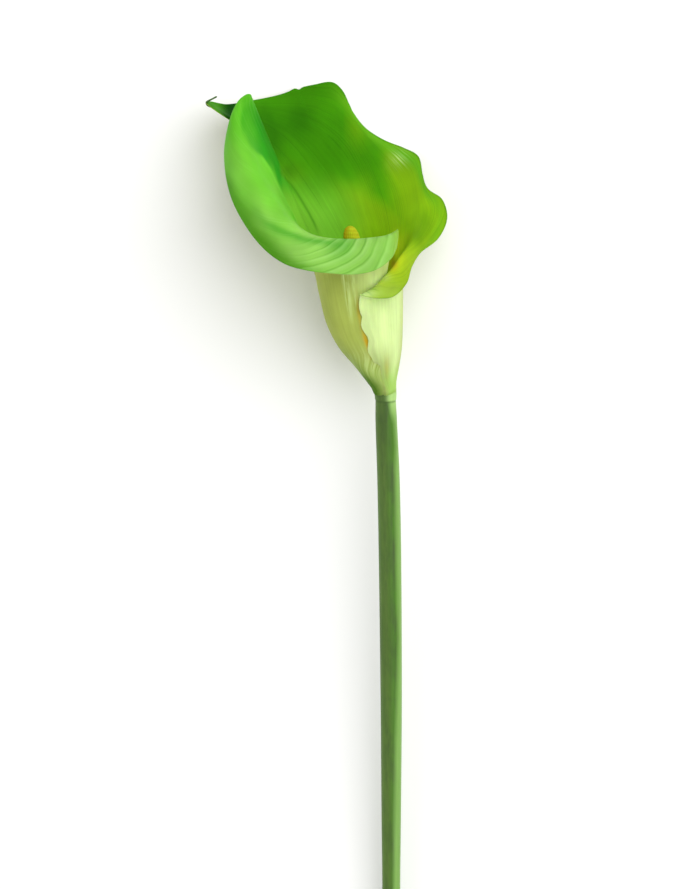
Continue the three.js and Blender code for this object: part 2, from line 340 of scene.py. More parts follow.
@dataclass(frozen=True)
class SpatheForm:
    """The sheet's shape: a tube that opens into ribs, each with a shoulder and an end on the rim."""

    tube: Array = field(default_factory=lambda: np.array([
        [0, -0.4, 4.8], [4, -1.9, 6.3], [10, -3.7, 9.2], [18, -6.5, 13.2],
        [28, -8.9, 16.0], [40, -10.4, 17.6], [52, -11.7, 19.0], [64, -14.2, 22.2],
    ], float))  # height, sideways place of the centre, radius
    ribs: Array = field(default_factory=lambda: np.array([
        # azimuth and height where the rib leaves the tube, how far it keeps the slope, shoulder, end
        [-42, 44, 10, 4.1, 65.6, 21, 4.2, 59.1, 27],
        [-34, 44, 10, 1.6, 64, 23.5, 1.4, 54.3, 30],
        [-22, 44, 10, -3.1, 62.7, 25.7, -4.5, 49.8, 34],
        [-6, 44, 10, -10.1, 62.1, 27.6, -12.5, 47.9, 36],
        [12, 44, 10, -18.5, 62.1, 28.5, -21.9, 48.2, 36],
        [30, 45, 11, -25.5, 62.3, 28.5, -32.7, 49.5, 35],
        [46, 46, 12, -31.1, 63.8, 28, -42.1, 52.4, 32],
        [60, 45, 14, -38.3, 67.6, 27.8, -50.8, 59, 27],
        [72, 45, 16, -43.3, 74.7, 27, -58.6, 69.2, 20],
        [84, 45, 17, -47.4, 82.4, 24, -64.4, 80.8, 14],
        [95, 46, 18, -51.2, 90.1, 19.5, -67.1, 93.6, 10],
        [105, 46, 14, -54.3, 97.8, 14, -66.7, 105.7, 7],
        [115, 46, 10, -52.6, 104.9, 8.5, -61.3, 117.3, 6],
        [124, 47, 10, -49.1, 105.2, 2.5, -55.7, 122.2, 6],
        [133, 47, 10, -51.1, 101.6, -5, -60, 116.4, -1],
        [142, 48, 14, -50.6, 98.7, -11, -63.1, 113.2, -7],
        [150, 48, 18, -50.7, 97.8, -16.5, -70.2, 117, -11],
        [158, 48, 18, -49.3, 99.3, -20.5, -76.1, 122.1, -15],
        [166, 48, 18, -44.1, 99.5, -23.4, -67.4, 121.3, -21],
        [174, 48, 18, -37.6, 99, -26.6, -56.5, 123.5, -29],
        [182, 48, 18, -30.8, 98.8, -27.9, -45.4, 126.1, -33],
        [191, 48, 18, -24.7, 98.9, -28.7, -37.3, 129, -35],
        [199, 48, 18, -19.5, 99.3, -28.6, -30.2, 130.7, -36],
        [207, 48, 17, -14.4, 98.8, -28.2, -22.6, 131.7, -36],
        [215, 48, 16, -9.9, 96.2, -27.2, -17.9, 127.6, -36],
        [222, 48, 15, -6.2, 92.1, -26, -14.3, 119.2, -35],
        [229, 48, 14, -2.5, 88.5, -24.5, -8.7, 111.9, -34],
        [237, 48, 13, 1.9, 85, -22.3, -0.8, 107.1, -34.6],
        [245, 48, 13, 6.2, 82.3, -19.4, 7.3, 103.6, -33.4],
        [254, 48, 12, 9.3, 79.1, -15.8, 13.9, 99.7, -28.5],
        [262, 48, 12, 11.5, 75.8, -12, 15.7, 91.5, -22],
        [270, 48, 11, 13.1, 72.1, -7.8, 18, 85.2, -16],
        [279, 48, 11, 13.6, 68.6, -3.9, 23.8, 80.7, -13],
        [289, 48, 10, 13.2, 64.8, 0.4, 25.7, 72.5, -9],
        [299, 48, 10, 11.6, 61, 4.7, 21.7, 63.9, -3],
        [308, 47, 9, 8.9, 57.3, 8.7, 14.4, 58.3, 3],
        [318, 44, 8, 6.1, 53.3, 12.5, 10.5, 51.9, 9],
        [328, 42, 7, 3.2, 49.1, 16, 8.3, 44.6, 15],
        [340, 39, 6, -0.6, 44.8, 18.6, 2.9, 39, 20.5],
        [353, 36, 5, -5.7, 41.9, 20.2, -4.3, 38.2, 23],
        [365, 34, 4, -10.8, 39.4, 19.5, -11, 39.7, 21],
    ], float))
    foot_height: float = -0.5  # the sheet sheathes the top of the stem by this much
    foot_arc: float = 1.5  # and by this much more at the front
    tube_share: float = 0.42  # the share of the rise that the tube takes
    shoulder: float = 0.6  # where along its rib the shoulder stands
    wave_share: float = 0.035
    wave_power: float = 6.0
    lobe_azimuth: float = 124.0  # where the left lobe's fold runs straight up to its peak
    lobe_width: float = 18.0
    lobe_wave: float = 0.2  # how much of the wave's share is left there
    margin_share: float = 0.06
    lap_gap: float = 1.7  # how far the left half runs inside the right half
    lap_starts: float = 6.0
    lap_full: float = 16.0
    lap_turn: float = 0.09
    hug: float = 1.1  # how far the lapping margin bends down towards the sheet that it covers
    last_azimuth: float = math.radians(365)
    tip_azimuth: float = 158.0
    nick_place: float = -36.8  # sideways place of a small nick in the far rim, with a low bump beside it
    nick_depth: float = 0.8
    far_rim: float = -25.0  # the far rim lies deeper than this
    nibbles: tuple[tuple[float, float, float], ...] = (
        (5.6, 21.3, 2.1), (2.2, 31.5, 1.7), (-2.0, 26.8, 1.2), (-3.6, 16.2, 2.0),
    )  # how many degrees the lapping margin is drawn back, at what height, and half over how much
    ripples: tuple[tuple[float, float, float], ...] = (
        (0.5, 2.9, 0.0), (0.35, 5.3, 1.0),
    )  # degrees, pace and shift of each
    gap_foot: tuple[float, float] = (11.0, 14.0)  # the heights over which the nibbled edge begins
    gap_top: tuple[float, float] = (30.0, 34.0)  # and ends
    seam_top: tuple[float, float] = (10.5, 14.5)  # the heights over which the pressed seam ends
    seam_drop: float = 2.1  # how far the seam is pressed in

    def shares(self) -> Array:
        """Where the ribs stand across the sheet, by the walked length of the rim.

        Returns:
            The places, from 0 to 1.
        """
        steps = np.linalg.norm(np.diff(self.ribs[:, 6:9], axis=0), axis=1)
        walked = np.concatenate([[0.0], np.cumsum(steps)])
        return walked / walked[-1]

    def track(self, columns: int | slice) -> Track:
        """A track of some of the ribs' columns across the sheet."""
        return Track(self.shares(), self.ribs[:, columns])

    def calmed(self, columns: slice, share: Array) -> tuple[Array, Array]:
        """The value of a track and its mean over one wave of the margin, the same at the sheet's two margins.

        Args:
            columns: the ribs' columns that hold the points.
            share: places across the sheet.

        Returns:
            The exact points and the calmed points.
        """
        track = self.track(columns)
        exact = track.at(share)
        on_lobe = bell(self.track(0).at(share), self.lobe_azimuth, self.lobe_width)
        wave = self.wave_share * lerp(1, self.lobe_wave, on_lobe)
        taps = [track.at(np.clip(share + tap * wave, 0, 1)) for tap in (-1, -0.5, 0, 0.5, 1)]
        fade = smooth(0, self.margin_share, share) * smooth(0, self.margin_share, 1 - share)
        return exact, lerp(exact, np.mean(taps, axis=0), fade[..., None])

    def tube_point(self, height: Array, azimuth: Array) -> Array:
        """The tube's outer face: a circle at each height, smaller where it runs inside the lap.

        The lapping margin is nibbled: its azimuth is drawn back by a few bells along the height. Near the
        foot it is pressed down on the sheet below it, which closes the seam there.

        Args:
            height: heights above the foot.
            azimuth: azimuths in radians.

        Returns:
            Points in the head's frame.
        """
        centre = Track(self.tube[:, 0], self.tube[:, 1]).at(height)
        radius = Track(self.tube[:, 0], self.tube[:, 2]).at(height)
        turn = 1 - self.lap_turn * (1 - smooth(self.lap_starts, self.lap_full, height))
        around = self.last_azimuth - (self.last_azimuth - azimuth) * turn
        near_margin = smooth(math.radians(340), self.last_azimuth, around)
        nibble = sum(size * bell(height, middle, half) for size, middle, half in self.nibbles)
        nibble = nibble + sum(size * np.sin(height * pace + shift) for size, pace, shift in self.ripples)
        below_top = 1 - smooth(*self.gap_top, height)
        around = around - np.radians(nibble * smooth(*self.gap_foot, height) * below_top) * near_margin
        turned = np.degrees(around)
        radius = radius - self.lap_gap * (1 - smooth(-5, 60, turned)) * smooth(0, self.lap_starts, height)
        sealed = smooth(322, 360, turned) * (1 - smooth(*self.seam_top, height))
        drop = np.maximum(self.hug * smooth(348, 363, turned) * below_top, self.seam_drop * sealed)
        radius = radius - drop * smooth(0, self.lap_starts, height)
        return np.stack([centre - radius * np.sin(around), height, radius * np.cos(around)], -1)

    def outer(self, rise: Array, share: Array) -> Array:
        """The sheet's outer face before it is pressed on the rest surface.

        Below the tube's share of the rise it is the tube. Above it, it is a cubic curve along each rib,
        whose second handle is solved so that the curve passes through the calmed shoulder. The rim's own
        waves come in with the sixth power of the way along the rib.

        Args:
            rise: 0 at the foot and 1 at the rim.
            share: 0 at the left margin and 1 at the right margin.

        Returns:
            Points in the head's frame.
        """
        azimuth = np.radians(self.track(0).at(share))
        leave = self.track(1).at(share)
        keep = self.track(2).at(share)
        foot = self.foot_height - self.foot_arc * np.clip(np.cos(azimuth), 0, 1) ** 2
        height = foot + (leave - foot) * np.clip(rise / self.tube_share, 0, 1)
        tube = self.tube_point(height, azimuth)
        start = self.tube_point(leave, azimuth)
        slope = unit(self.tube_point(leave + 0.5, azimuth) - self.tube_point(leave - 0.5, azimuth))
        first = start + slope * keep[..., None]
        _, shoulder = self.calmed(slice(3, 6), share)
        exact, end = self.calmed(slice(6, 9), share)
        beside = exact[..., 0] - self.nick_place
        nick = self.nick_depth * (bell(beside, 0, 0.9) - 0.5 * bell(beside, -2.2, 1.2))
        exact[..., 1] -= nick * (exact[..., 2] < self.far_rim)
        s, rest = self.shoulder, 1 - self.shoulder
        second = (shoulder - rest**3 * start - 3 * rest**2 * s * first - s**3 * end) / (3 * rest * s * s)
        t = np.clip((rise - self.tube_share) / (1 - self.tube_share), 0, 1)[..., None]
        rib = (1 - t) ** 3 * start + 3 * (1 - t) ** 2 * t * first + 3 * (1 - t) * t**2 * second + t**3 * end
        rib = rib + t**self.wave_power * (exact - end)
        return np.where((rise <= self.tube_share)[..., None], tube, rib)


Patches = tuple[tuple[float, float, float, float, float], ...]
Curve = tuple[tuple[float, ...], tuple[float, ...]]


@dataclass(frozen=True)
class Zones:
    """Where the sheet's tones lie, placed in the head's frame, in millimetres.

    A patch is a soft round spot: its middle, its two half widths and its strength. A curve is two rows:
    places along it, and its value at each.
    """

    # painted shade: the far wall darker where it lies in shade
    deep: Patches = (
        (-37, 115, 9, 9, 0.8), (-22, 103, 10, 9, 0.25), (-8, 92, 7, 7, 0.2), (-48, 101, 5, 9, 0.4),
        (-52, 116, 6, 8, 0.7), (-19, 114, 5, 6, 0.2), (-24, 88, 8, 6, 0.2), (-41, 93, 3.5, 4, 0.4),
        (13.8, 63.5, 2.5, 5.5, 0.35), (-47, 108, 4, 6, 0.3), (16.8, 71, 3.2, 6, 0.4),
    )
    # painted light: the far wall lighter and yellower where light reaches it
    sunny: Patches = (
        (-12, 113, 5, 9, 0.55), (5, 98.5, 5.2, 7, 0.9), (-42, 92, 8, 5, 0.3), (-9, 88, 5, 6, 0.4),
    )
    # painted light: lighter patches on the rolled lobe
    painted_light: Patches = (
        (-61, 89, 6, 9, 0.3), (-41, 65, 7, 4, 0.4), (-54, 77, 6, 8, 0.35), (-50.5, 69.5, 6, 5, 0.75),
        (-46, 84, 2.5, 4, 0.15), (-63, 101, 5, 8, 0.15), (-41.5, 76.5, 3.5, 4, 0.15),
    )
    golden: Patches = (
        (4.8, 59.5, 2.8, 6.5, 1.0), (8.5, 63.5, 2.2, 4, 0.2), (1.5, 53, 3, 4, 0.5), (1.4, 48.4, 3, 1.8, 0.15),
        (-3, 44.8, 3, 1.5, 0.3),
    )
    # a paler lip tip, and painted light along the lip's upper edge
    pale_lip: Patches = (
        (-10, 40.2, 5, 2.2, 0.8), (0, 41, 8, 4, 0.1), (-5.5, 44.6, 3, 1.6, 0.4), (-1.5, 47.6, 3, 1.8, 0.4),
    )
    pale_streaks: Patches = ((5.5, 98.5, 3.2, 3.5, 0.5),)
    # painted light on the tube under the flap's edge
    under_flap_light: Patches = ((-4.6, 45.5, 3, 4, 0.35),)
    orange_spot: Patches = ((3.2, 53.4, 1.5, 2.6, 0.75),)
    # painted shade: a darker spot on the rolled lobe
    lobe_shade: Patches = ((-44.5, 73, 4, 6, 0.3),)
    ridge: Curve = (
        (0.66, 0.71, 0.75, 0.78, 0.81, 0.855, 0.88, 0.95), (106, 110.5, 108.5, 104.5, 103, 106, 112, 117),
    )  # the rise and the azimuth of the left lobe's inner ridge
    near_ridge: Curve = (
        (0.70, 0.74, 0.76, 0.80, 0.83, 0.86), (0.45, 0.95, 0.9, 0.6, 0.65, 0.95),
    )  # the rise, and how strong the crest's painted shade is beside the ridge
    past_fold: Curve = (
        (0.66, 0.69, 0.72, 0.75, 0.78), (1.5, 5, 7, 3, 1.2),
    )  # the rise, and how many degrees the crest's painted shade runs over the fold
    turn_line: Curve = (
        (-40, 0, 30, 50, 58, 66, 76), (0.87, 0.858, 0.857, 0.872, 0.895, 0.92, 0.93),
    )  # the azimuth, and the rise where the rolled rim turns down
    under_turn: Curve = (
        (0, 0.03, 0.06, 0.09, 0.12), (0.5, 0.6, 0.42, 0.2, 0),
    )  # the rise past that line, and how strong the painted shade under the rim is at the front
    crease: Curve = (
        (66.8, 71, 76, 80.2, 84.4, 87.8, 90.7, 96.2),
        (-28.6, -30.2, -32.8, -35.3, -37.8, -40.3, -43.7, -46.2),
    )  # the height and the place of the long crease in the far wall
    arcs: tuple[Curve, ...] = (
        ((102, 106.3, 109.6), (-18.5, -21.4, -25.4)), ((102, 105.7), (-22.3, -25.5)),
    )  # two short creases, in the same way
    left_outline: Curve = (
        (51, 55, 59, 64, 68, 74, 82, 97), (-41, -47, -52, -56, -60, -64, -67, -68.5),
    )  # the height and the place of the left lobe's outline
    left_width: Curve = ((50, 66, 74, 82, 92), (10, 11, 12, 7, 2))  # of the painted shade band along it
    low_outline: Curve = (
        (-50, -42.4, -36.1, -29.8), (56.7, 52.5, 50.4, 48.7),
    )  # the place and the height of the outline's lower end


@dataclass(frozen=True)
class SheetPlace:
    """Where points lie on one face of the sheet."""

    x: Array
    y: Array
    rise: Array
    azimuth: Array
    fold: Array  # degrees past the line where the left lobe turns into the far wall
    inner: Array  # 1 on the inner face and 0 on the outer one
    fresh: Array  # how far the inner face is rolled out over the front and the left

    @property
    def behind(self) -> Array:
        """How far a point belongs to the rest of the inner face: the far wall and the lip."""
        return self.inner - self.fresh

    def patches(self, spots: Patches) -> Array:
        """The sum of soft round patches: each is its strength times e^-(dx^2 + dy^2), in its half widths."""
        x, y = self.x, self.y
        return sum(k * np.exp(-(((x - a) / w) ** 2) - ((y - b) / h) ** 2) for a, b, w, h, k in spots)


@dataclass
class Spathe:
    """The rolled, flared sheet, with its veins and its colour zones."""

    head: HeadFrame
    form: SpatheForm = field(default_factory=SpatheForm)
    zones: Zones = Zones()
    thickness_foot: float = 1.1
    thickness_rim: float = 0.5
    tube_rows: int = 22
    limb_rows: int = 76
    columns: int = 460
    left_bend: tuple[float, float] = (1.2, 20.0)  # how far the left half's veins bend, and with which power
    right_bend: tuple[float, float] = (1.6, 8.0)
    front_ends: tuple[float, float] = (50.0, 95.0)  # the azimuths over which the left lobe takes over
    roll_starts: tuple[float, float] = (0.55, 0.66)  # the rise where the lobe and the front start to roll
    roll_ends: tuple[float, float] = (0.62, 0.76)  # and where they are rolled out
    fold_line: Curve = (
        (0.56, 0.61, 0.63, 0.67, 0.69, 0.715, 0.745, 0.775, 0.81, 0.84, 0.88, 0.92, 1.0),
        (110, 110, 109, 109, 110.5, 114.5, 118, 120.5, 123, 124.5, 126, 129, 136),
    )  # the rise and the azimuth of the line where the left lobe turns into the far wall

    def rises(self) -> Array:
        """The rows: even in the tube and the limb, with two close rows that round the rim.

        Returns:
            Their rises.
        """
        share = self.form.tube_share
        tube = np.linspace(0, share, self.tube_rows, endpoint=False)
        return np.concatenate([tube, np.linspace(share, 0.988, self.limb_rows), [0.996, 1.0]])

    def share_columns(self) -> Array:
        """The columns: even along the rim, with close columns that round both margins."""
        return np.concatenate([[0.0, 0.0012], np.linspace(0.004, 0.996, self.columns - 4), [0.9988, 1.0]])

    def vein_place(self, rise: Array, share: Array) -> Array:
        """Which vein a point lies on: -1 at the left margin, 0 at the midrib and 1 at the right margin.

        A vein rises straight through the tube and bends towards the tip as it nears the rim. With m for the
        share of the half that is left to the margin, the vein w that passes there solves
        m = w (1 + a (1 - w)), where the bend a grows with a power of the rise.

        Args:
            rise: 0 at the foot and 1 at the rim.
            share: 0 to 1 across the sheet.

        Returns:
            The vein coordinate.
        """
        tip = np.interp(self.form.tip_azimuth, self.form.ribs[:, 0], self.form.shares())
        side = np.where(share < tip, (share - tip) / tip, (share - tip) / (1 - tip))
        left = 1 - np.abs(side)
        (left_size, left_power), (right_size, right_power) = self.left_bend, self.right_bend
        bend = np.where(side < 0, left_size * rise**left_power, right_size * rise**right_power)
        vein = 2 * left / (1 + bend + np.sqrt(np.maximum((1 + bend) ** 2 - 4 * bend * left, 0)))
        return np.sign(side) * (1 - vein)

    def place(self, rise: Array, share: Array, points: Array, face: Face) -> SheetPlace:
        """Works out where points lie on the sheet.

        Args:
            rise: 0 at the foot and 1 at the rim.
            share: 0 to 1 across the sheet.
            points: the points in the head's frame.
            face: which face of the sheet they lie on.

        Returns:
            Their places.
        """
        azimuth = self.form.track(0).at(share)
        fold = azimuth - np.interp(rise, *self.fold_line)
        inner = np.full_like(rise, face.value)
        front = 1 - smooth(*self.front_ends, azimuth)
        start, end = lerp(*self.roll_starts, front), lerp(*self.roll_ends, front)
        rolled = smooth(start, end, rise) * (1 - smooth(-1, 1, fold))
        return SheetPlace(points[..., 0], points[..., 1], rise, azimuth, fold, inner, rolled * inner)

    def crest_shade(self, p: SheetPlace) -> tuple[Array, Array]:
        """The painted shade on the left lobe's inner side, from ridge to fold, and under the rolled rim.

        Args:
            p: places on the sheet.

        Returns:
            How strong that painted shade is, and the painted shade along the edge beside the fold.
        """
        rise, azimuth, zones = p.rise, p.azimuth, self.zones
        ridge = np.interp(rise, *zones.ridge)
        across = (azimuth - ridge) / np.maximum(azimuth - p.fold - ridge, 8)
        # painted shade on the lobe's inner side, from the ridge over the fold
        crest_shade = smooth(-1, 1, (azimuth - ridge) / lerp(1.3, 5.0, smooth(0.75, 0.86, rise)))
        crest_shade = crest_shade * lerp(1.0, 0.35, smooth(0.79, 0.93, rise))
        crest_shade = crest_shade * lerp(np.interp(rise, *zones.near_ridge), 1.0, smooth(0.35, 0.85, across))
        crest_shade = np.maximum(crest_shade, 0.2 * smooth(96, 104, azimuth) * smooth(0.8, 0.88, rise))
        reach = np.interp(rise, *zones.past_fold)
        over_fold = p.inner * (1 - smooth(reach, 1.7 * reach, p.fold))
        fold_shade = smooth(-6, 0, p.fold) * smooth(0.69, 0.73, rise) * (1 - smooth(0.8, 0.86, rise))
        # painted shade under the rolled rim, at the left and at the front
        past_turn = rise - np.interp(azimuth, *zones.turn_line)
        left = 0.6 * bell(past_turn, 0.01, 0.028) * smooth(-30, 10, azimuth) * (1 - smooth(62, 80, azimuth))
        front = np.interp(past_turn, *zones.under_turn) * smooth(-6, 8, azimuth)
        under = p.fresh * lerp(left, front, 1 - smooth(12, 28, azimuth))
        return np.maximum(crest_shade * smooth(0.645, 0.7, rise) * over_fold, under), fold_shade * over_fold

    def wall_marks(self, p: SheetPlace) -> dict[str, Array]:
        """The marks of the far wall, the lip and the rim.

        Args:
            p: places on the sheet.

        Returns:
            The painted shade of the lobe and of the far wall, the painted light, the painted shadow, the
            golden, lip and rim greens, and the dark lines.
        """
        x, y, zones = p.x, p.y, self.zones
        crest_shade, fold_shade = self.crest_shade(p)
        # painted shade: the far wall darker in patches and towards its top
        deep = p.patches(zones.deep) + 0.25 * smooth(84, 98, y) + 0.3 * smooth(122, 128, y)
        # painted light: lighter patches, the low wall towards the throat and the wall's right side
        sunny = p.patches(zones.sunny) * np.maximum(smooth(-18.5, -17, x), 1 - smooth(102, 106, y))
        below = (1 - smooth(82, 92, y + 0.5 * (x + 15))) * smooth(-30, -8, x)
        past_crease = x - np.interp(y, *zones.crease)
        shadow = (1 - smooth(-1.5, 0.5, past_crease)) * smooth(80, 91, y) * (1 - smooth(93, 99, y))
        creases = bell(past_crease, 0, 0.65) * smooth(64, 72, y) * (1 - smooth(90, 96, y))
        for heights, places in zones.arcs:
            arc = bell(x - np.interp(y, heights, places), 0, 0.6) * smooth(heights[0], heights[0] + 1.5, y)
            creases = creases + 0.8 * arc * (1 - smooth(heights[-1] - 1.5, heights[-1], y))
        right = smooth(200, 222, p.azimuth)
        edge = smooth(0.985, 1, p.rise) * right * (1 - 0.6 * smooth(285, 300, p.azimuth))
        return {
            "crest_shade": crest_shade,
            "deep": p.behind * np.clip(deep, 0, 1),
            "sunny": p.behind * np.clip(np.maximum(below, smooth(-4, 9, x)) + sunny, 0, 1),
            "shade": 0.85 * p.behind * shadow,
            "golden": np.minimum(p.behind * p.patches(zones.golden), 1),
            "lip": p.inner * smooth(292, 318, p.azimuth) + 0.35 * p.fresh * (1 - smooth(-41, -30, p.azimuth)),
            "rim": p.inner * bell(p.rise, 0.965, 0.035) * right * (1 - 0.65 * bell(p.azimuth, 287, 13)),
            # the dark lines take in the painted shade beside the fold
            "dark_line": edge + p.behind * creases + 0.7 * fold_shade,
        }

    def lobe_marks(self, p: SheetPlace) -> dict[str, Array]:
        """The marks of the rolled lobe and the front flap.

        Args:
            p: places on the sheet.

        Returns:
            The lighter green, painted light on the lobe, and the dark tip with the painted shade of the
            lobe's side, which the wall takes part in, the flap and its pleats.
        """
        x, y, zones = p.x, p.y, self.zones
        # painted shade along the left lobe's outline and at its lower end
        past_outline = (x - np.interp(y, *zones.left_outline)) / np.interp(y, *zones.left_width)
        side = 1 - smooth(0.2, 1.15, past_outline)
        low = (1 - smooth(0.5, 5, y - np.interp(x, *zones.low_outline))) * (1 - smooth(-38, -20, x))
        side = np.maximum(side * smooth(46, 54, y), low) * (1 - smooth(84, 100, y))
        side_shade = 0.8 * p.fresh * np.maximum(side, p.patches(zones.lobe_shade))
        # the tip's own dark green, with painted shade that deepens towards the lobe
        tip = p.behind * smooth(-72.5, -66, x) * (1 - smooth(-60, -54, x))
        veiled = p.behind * (1 - smooth(72, 97, y)) * (1 - smooth(-28, -2, x))
        return {
            # on the lobe the lighter green is painted light
            "lighter": veiled + p.fresh * p.patches(zones.painted_light),
            "dark_tip_and_shade": np.maximum(tip, side_shade),
            "flap": p.fresh * (1 - smooth(38, 84, p.azimuth)),
            "pleated": p.fresh * (1 - smooth(16, 52, p.azimuth)),
        }

    def tube_marks(self, p: SheetPlace) -> dict[str, Array]:
        """The marks of the tube's outer face and of its foot.

        Args:
            p: places on the sheet.

        Returns:
            The pale tone with painted light, the olive tone, the warm tone with painted glow, the streaks,
            and the foot with its painted shade on the left and its painted light on the right.
        """
        y, azimuth, zones, tube = p.y, p.azimuth, self.zones, self.form.tube
        outer = 1 - p.inner
        aside = (p.x - np.interp(y, tube[:, 0], tube[:, 1])) / np.interp(y, tube[:, 0], tube[:, 2])
        # painted glow: warm light through the lapped margin along the seam, and low on the right
        seam = bell(azimuth, 4.5, 4.5) * bell(y, 20.4, 4.4) + 0.6 * bell(azimuth, 7, 2.6) * bell(y, 33, 6)
        glow = 0.28 * bell(azimuth, 331, 7) * bell(y, 9.7, 4)
        spot = p.behind * np.clip(p.patches(zones.orange_spot), 0, 1)
        streaks = (0.9 * bell(azimuth, 20.6, 4) + 0.6 * bell(azimuth, 9.6, 2.4)) * smooth(26, 42, y)
        streaks = streaks + 0.35 * bell(y, 11, 5) * (1 - smooth(40, 90, azimuth))
        # painted light: the tube paler on its right side and in the shade under the flap
        veiled = 0.4 * smooth(34, 40, y) * (1 - smooth(-4, 24, azimuth)) + p.patches(zones.under_flap_light)
        pale = np.maximum(smooth(258, 305, azimuth), veiled)
        # painted shade: the foot darker on its left side and along its left outline
        left_foot = 1 - smooth(-0.75, 0.35, aside + 0.05 * np.maximum(y - 2, 0))
        foot_shade = 0.85 * left_foot * (1 - smooth(2.5, 10, y))
        foot_shade = foot_shade + 0.5 * (1 - smooth(-1.0, -0.55, aside)) * (1 - smooth(8, 26, y))
        return {
            "pale": outer * pale + p.behind * p.patches(zones.pale_lip),
            "olive": outer * smooth(4, 14, y),
            "warm": outer * (seam + glow) + spot,
            "streaks": outer * streaks + p.behind * p.patches(zones.pale_streaks),
            "foot": (1 - smooth(0, 25, y)) * (1 - 0.8 * bell(azimuth, 305, 17) * smooth(1, 10, y)),
            "foot_shade": outer * np.clip(foot_shade, 0, 1),
            # painted light on the foot's right side
            "lit_foot": 0.45 * outer * smooth(-0.1, 0.6, aside) * (1 - smooth(2, 15, y)),
        }

    def marks(self, rise: Array, share: Array, points: Array, face: Face) -> dict[str, Array]:
        """What the material reads at each point, worked out from its place on the sheet.

        Args:
            rise: 0 at the foot and 1 at the rim.
            share: 0 to 1 across the sheet.
            points: the points in the head's frame.
            face: which face of the sheet they lie on.

        Returns:
            The vein coordinate, the rise, the face, the degrees past the fold, and how strong each zone's
            tone is.
        """
        p = self.place(rise, share, points, face)
        along = {"vein": self.vein_place(rise, share), "rise": rise, "inner": p.inner, "past_fold": p.fold}
        return along | self.wall_marks(p) | self.lobe_marks(p) | self.tube_marks(p)

    def build(self) -> bpy.types.Object:
        """Builds the sheet as two grids of points a wall apart, joined by narrow strips along all four edges.

        The inner face stands off along the outer face's normal, which is the cross product of the steps
        across and up the grid.

        Returns:
            The spathe's object.
        """
        rise, share = np.meshgrid(self.rises(), self.share_columns(), indexing="ij")
        outer = self.head.press(self.form.outer(rise, share))
        inward = unit(np.cross(np.gradient(outer, axis=1), np.gradient(outer, axis=0)))
        inward[0, :, 1] = 0  # the foot's edge stays level
        inward = unit(inward)
        edge = smooth(0, 0.012, share) * smooth(0, 0.012, 1 - share)
        wall = lerp(self.thickness_foot, self.thickness_rim, smooth(0.2, 1, rise)) * lerp(0.5, 1.0, edge)
        inner = outer + inward * wall[..., None]
        rows, columns = rise.shape
        count = rows * columns
        o = np.arange(count).reshape(rows, columns)
        i = o + count
        strips = [
            (o[0, :-1], o[0, 1:], i[0, 1:], i[0, :-1]),
            (i[-1, :-1], i[-1, 1:], o[-1, 1:], o[-1, :-1]),
            (o[:-1, 0], i[:-1, 0], i[1:, 0], o[1:, 0]),
            (o[:-1, -1], o[1:, -1], i[1:, -1], i[:-1, -1]),
        ]
        faces = np.concatenate(
            [grid_faces(rows, columns, 0, True), grid_faces(rows, columns, count, False)]
            + [np.stack(strip, -1) for strip in strips]
        )
        out_marks = self.marks(rise, share, outer, Face.OUTER)
        in_marks = self.marks(rise, share, inner, Face.INNER)
        marks = {name: np.append(out_marks[name].ravel(), in_marks[name].ravel()) for name in out_marks}
        points = self.head.to_row(np.concatenate([outer.reshape(-1, 3), inner.reshape(-1, 3)]))
        piece = make_piece("spathe_sheet", points, faces, marks, "spathe")
        piece.data.materials.append(SpatheSkin().material())
        return piece


@dataclass
class TipTail:
    """The thread that the sheet's tip is drawn out into, curled back on itself."""

    head: HeadFrame
    path: Array = field(default_factory=lambda: np.array([
        [-73.4, 120.4, -16.2], [-75.0, 121.0, -15.4], [-75.6, 121.8, -14.4], [-75.0, 122.5, -13.4],
        [-73.7, 123.1, -12.6], [-72.3, 123.8, -11.9], [-71.2, 124.3, -11.4],
    ], float))
    radii: Array = field(default_factory=lambda: np.array([0.8, 0.7, 0.54, 0.42, 0.36, 0.36, 0.4], float))
    round_share: float = 0.999  # how nearly its ends close
    round_power: float = 24.0  # the higher, the blunter they are
    rows: int = 40
    sides: int = 14

    def build(self) -> bpy.types.Object:
        """Builds the tail as circles carried along a smooth path, closed by a point at each end.

        Each circle stands square to the path: its two axes are the path's cross products with a fixed
        direction.

        Returns:
            The tail's object.
        """
        knots = np.linspace(0, 1, len(self.path))
        t = np.linspace(0, 1, self.rows)
        line, radius = Track(knots, self.path).at(t), Track(knots, self.radii).at(t)
        radius = radius * np.sqrt(1 - (self.round_share * (2 * t - 1)) ** self.round_power)
        forward = unit(np.gradient(line, axis=0))
        across = unit(np.cross(forward, np.array([0.3, 0.2, 1.0])))
        up = np.cross(across, forward)
        turn = np.linspace(0, 2 * math.pi, self.sides, endpoint=False)[None, :, None]
        circle = np.cos(turn) * across[:, None] + np.sin(turn) * up[:, None]
        points = line[:, None] + radius[:, None, None] * circle
        place = self.head.to_row(np.concatenate([points.reshape(-1, 3), line[[0, -1]]]))
        faces = tube_faces(self.rows, self.sides, flip=True)
        piece = make_piece("spathe_tail", place, faces, {}, "")
        piece.data.materials.append(TailSkin().material())
        return piece


# Spadix


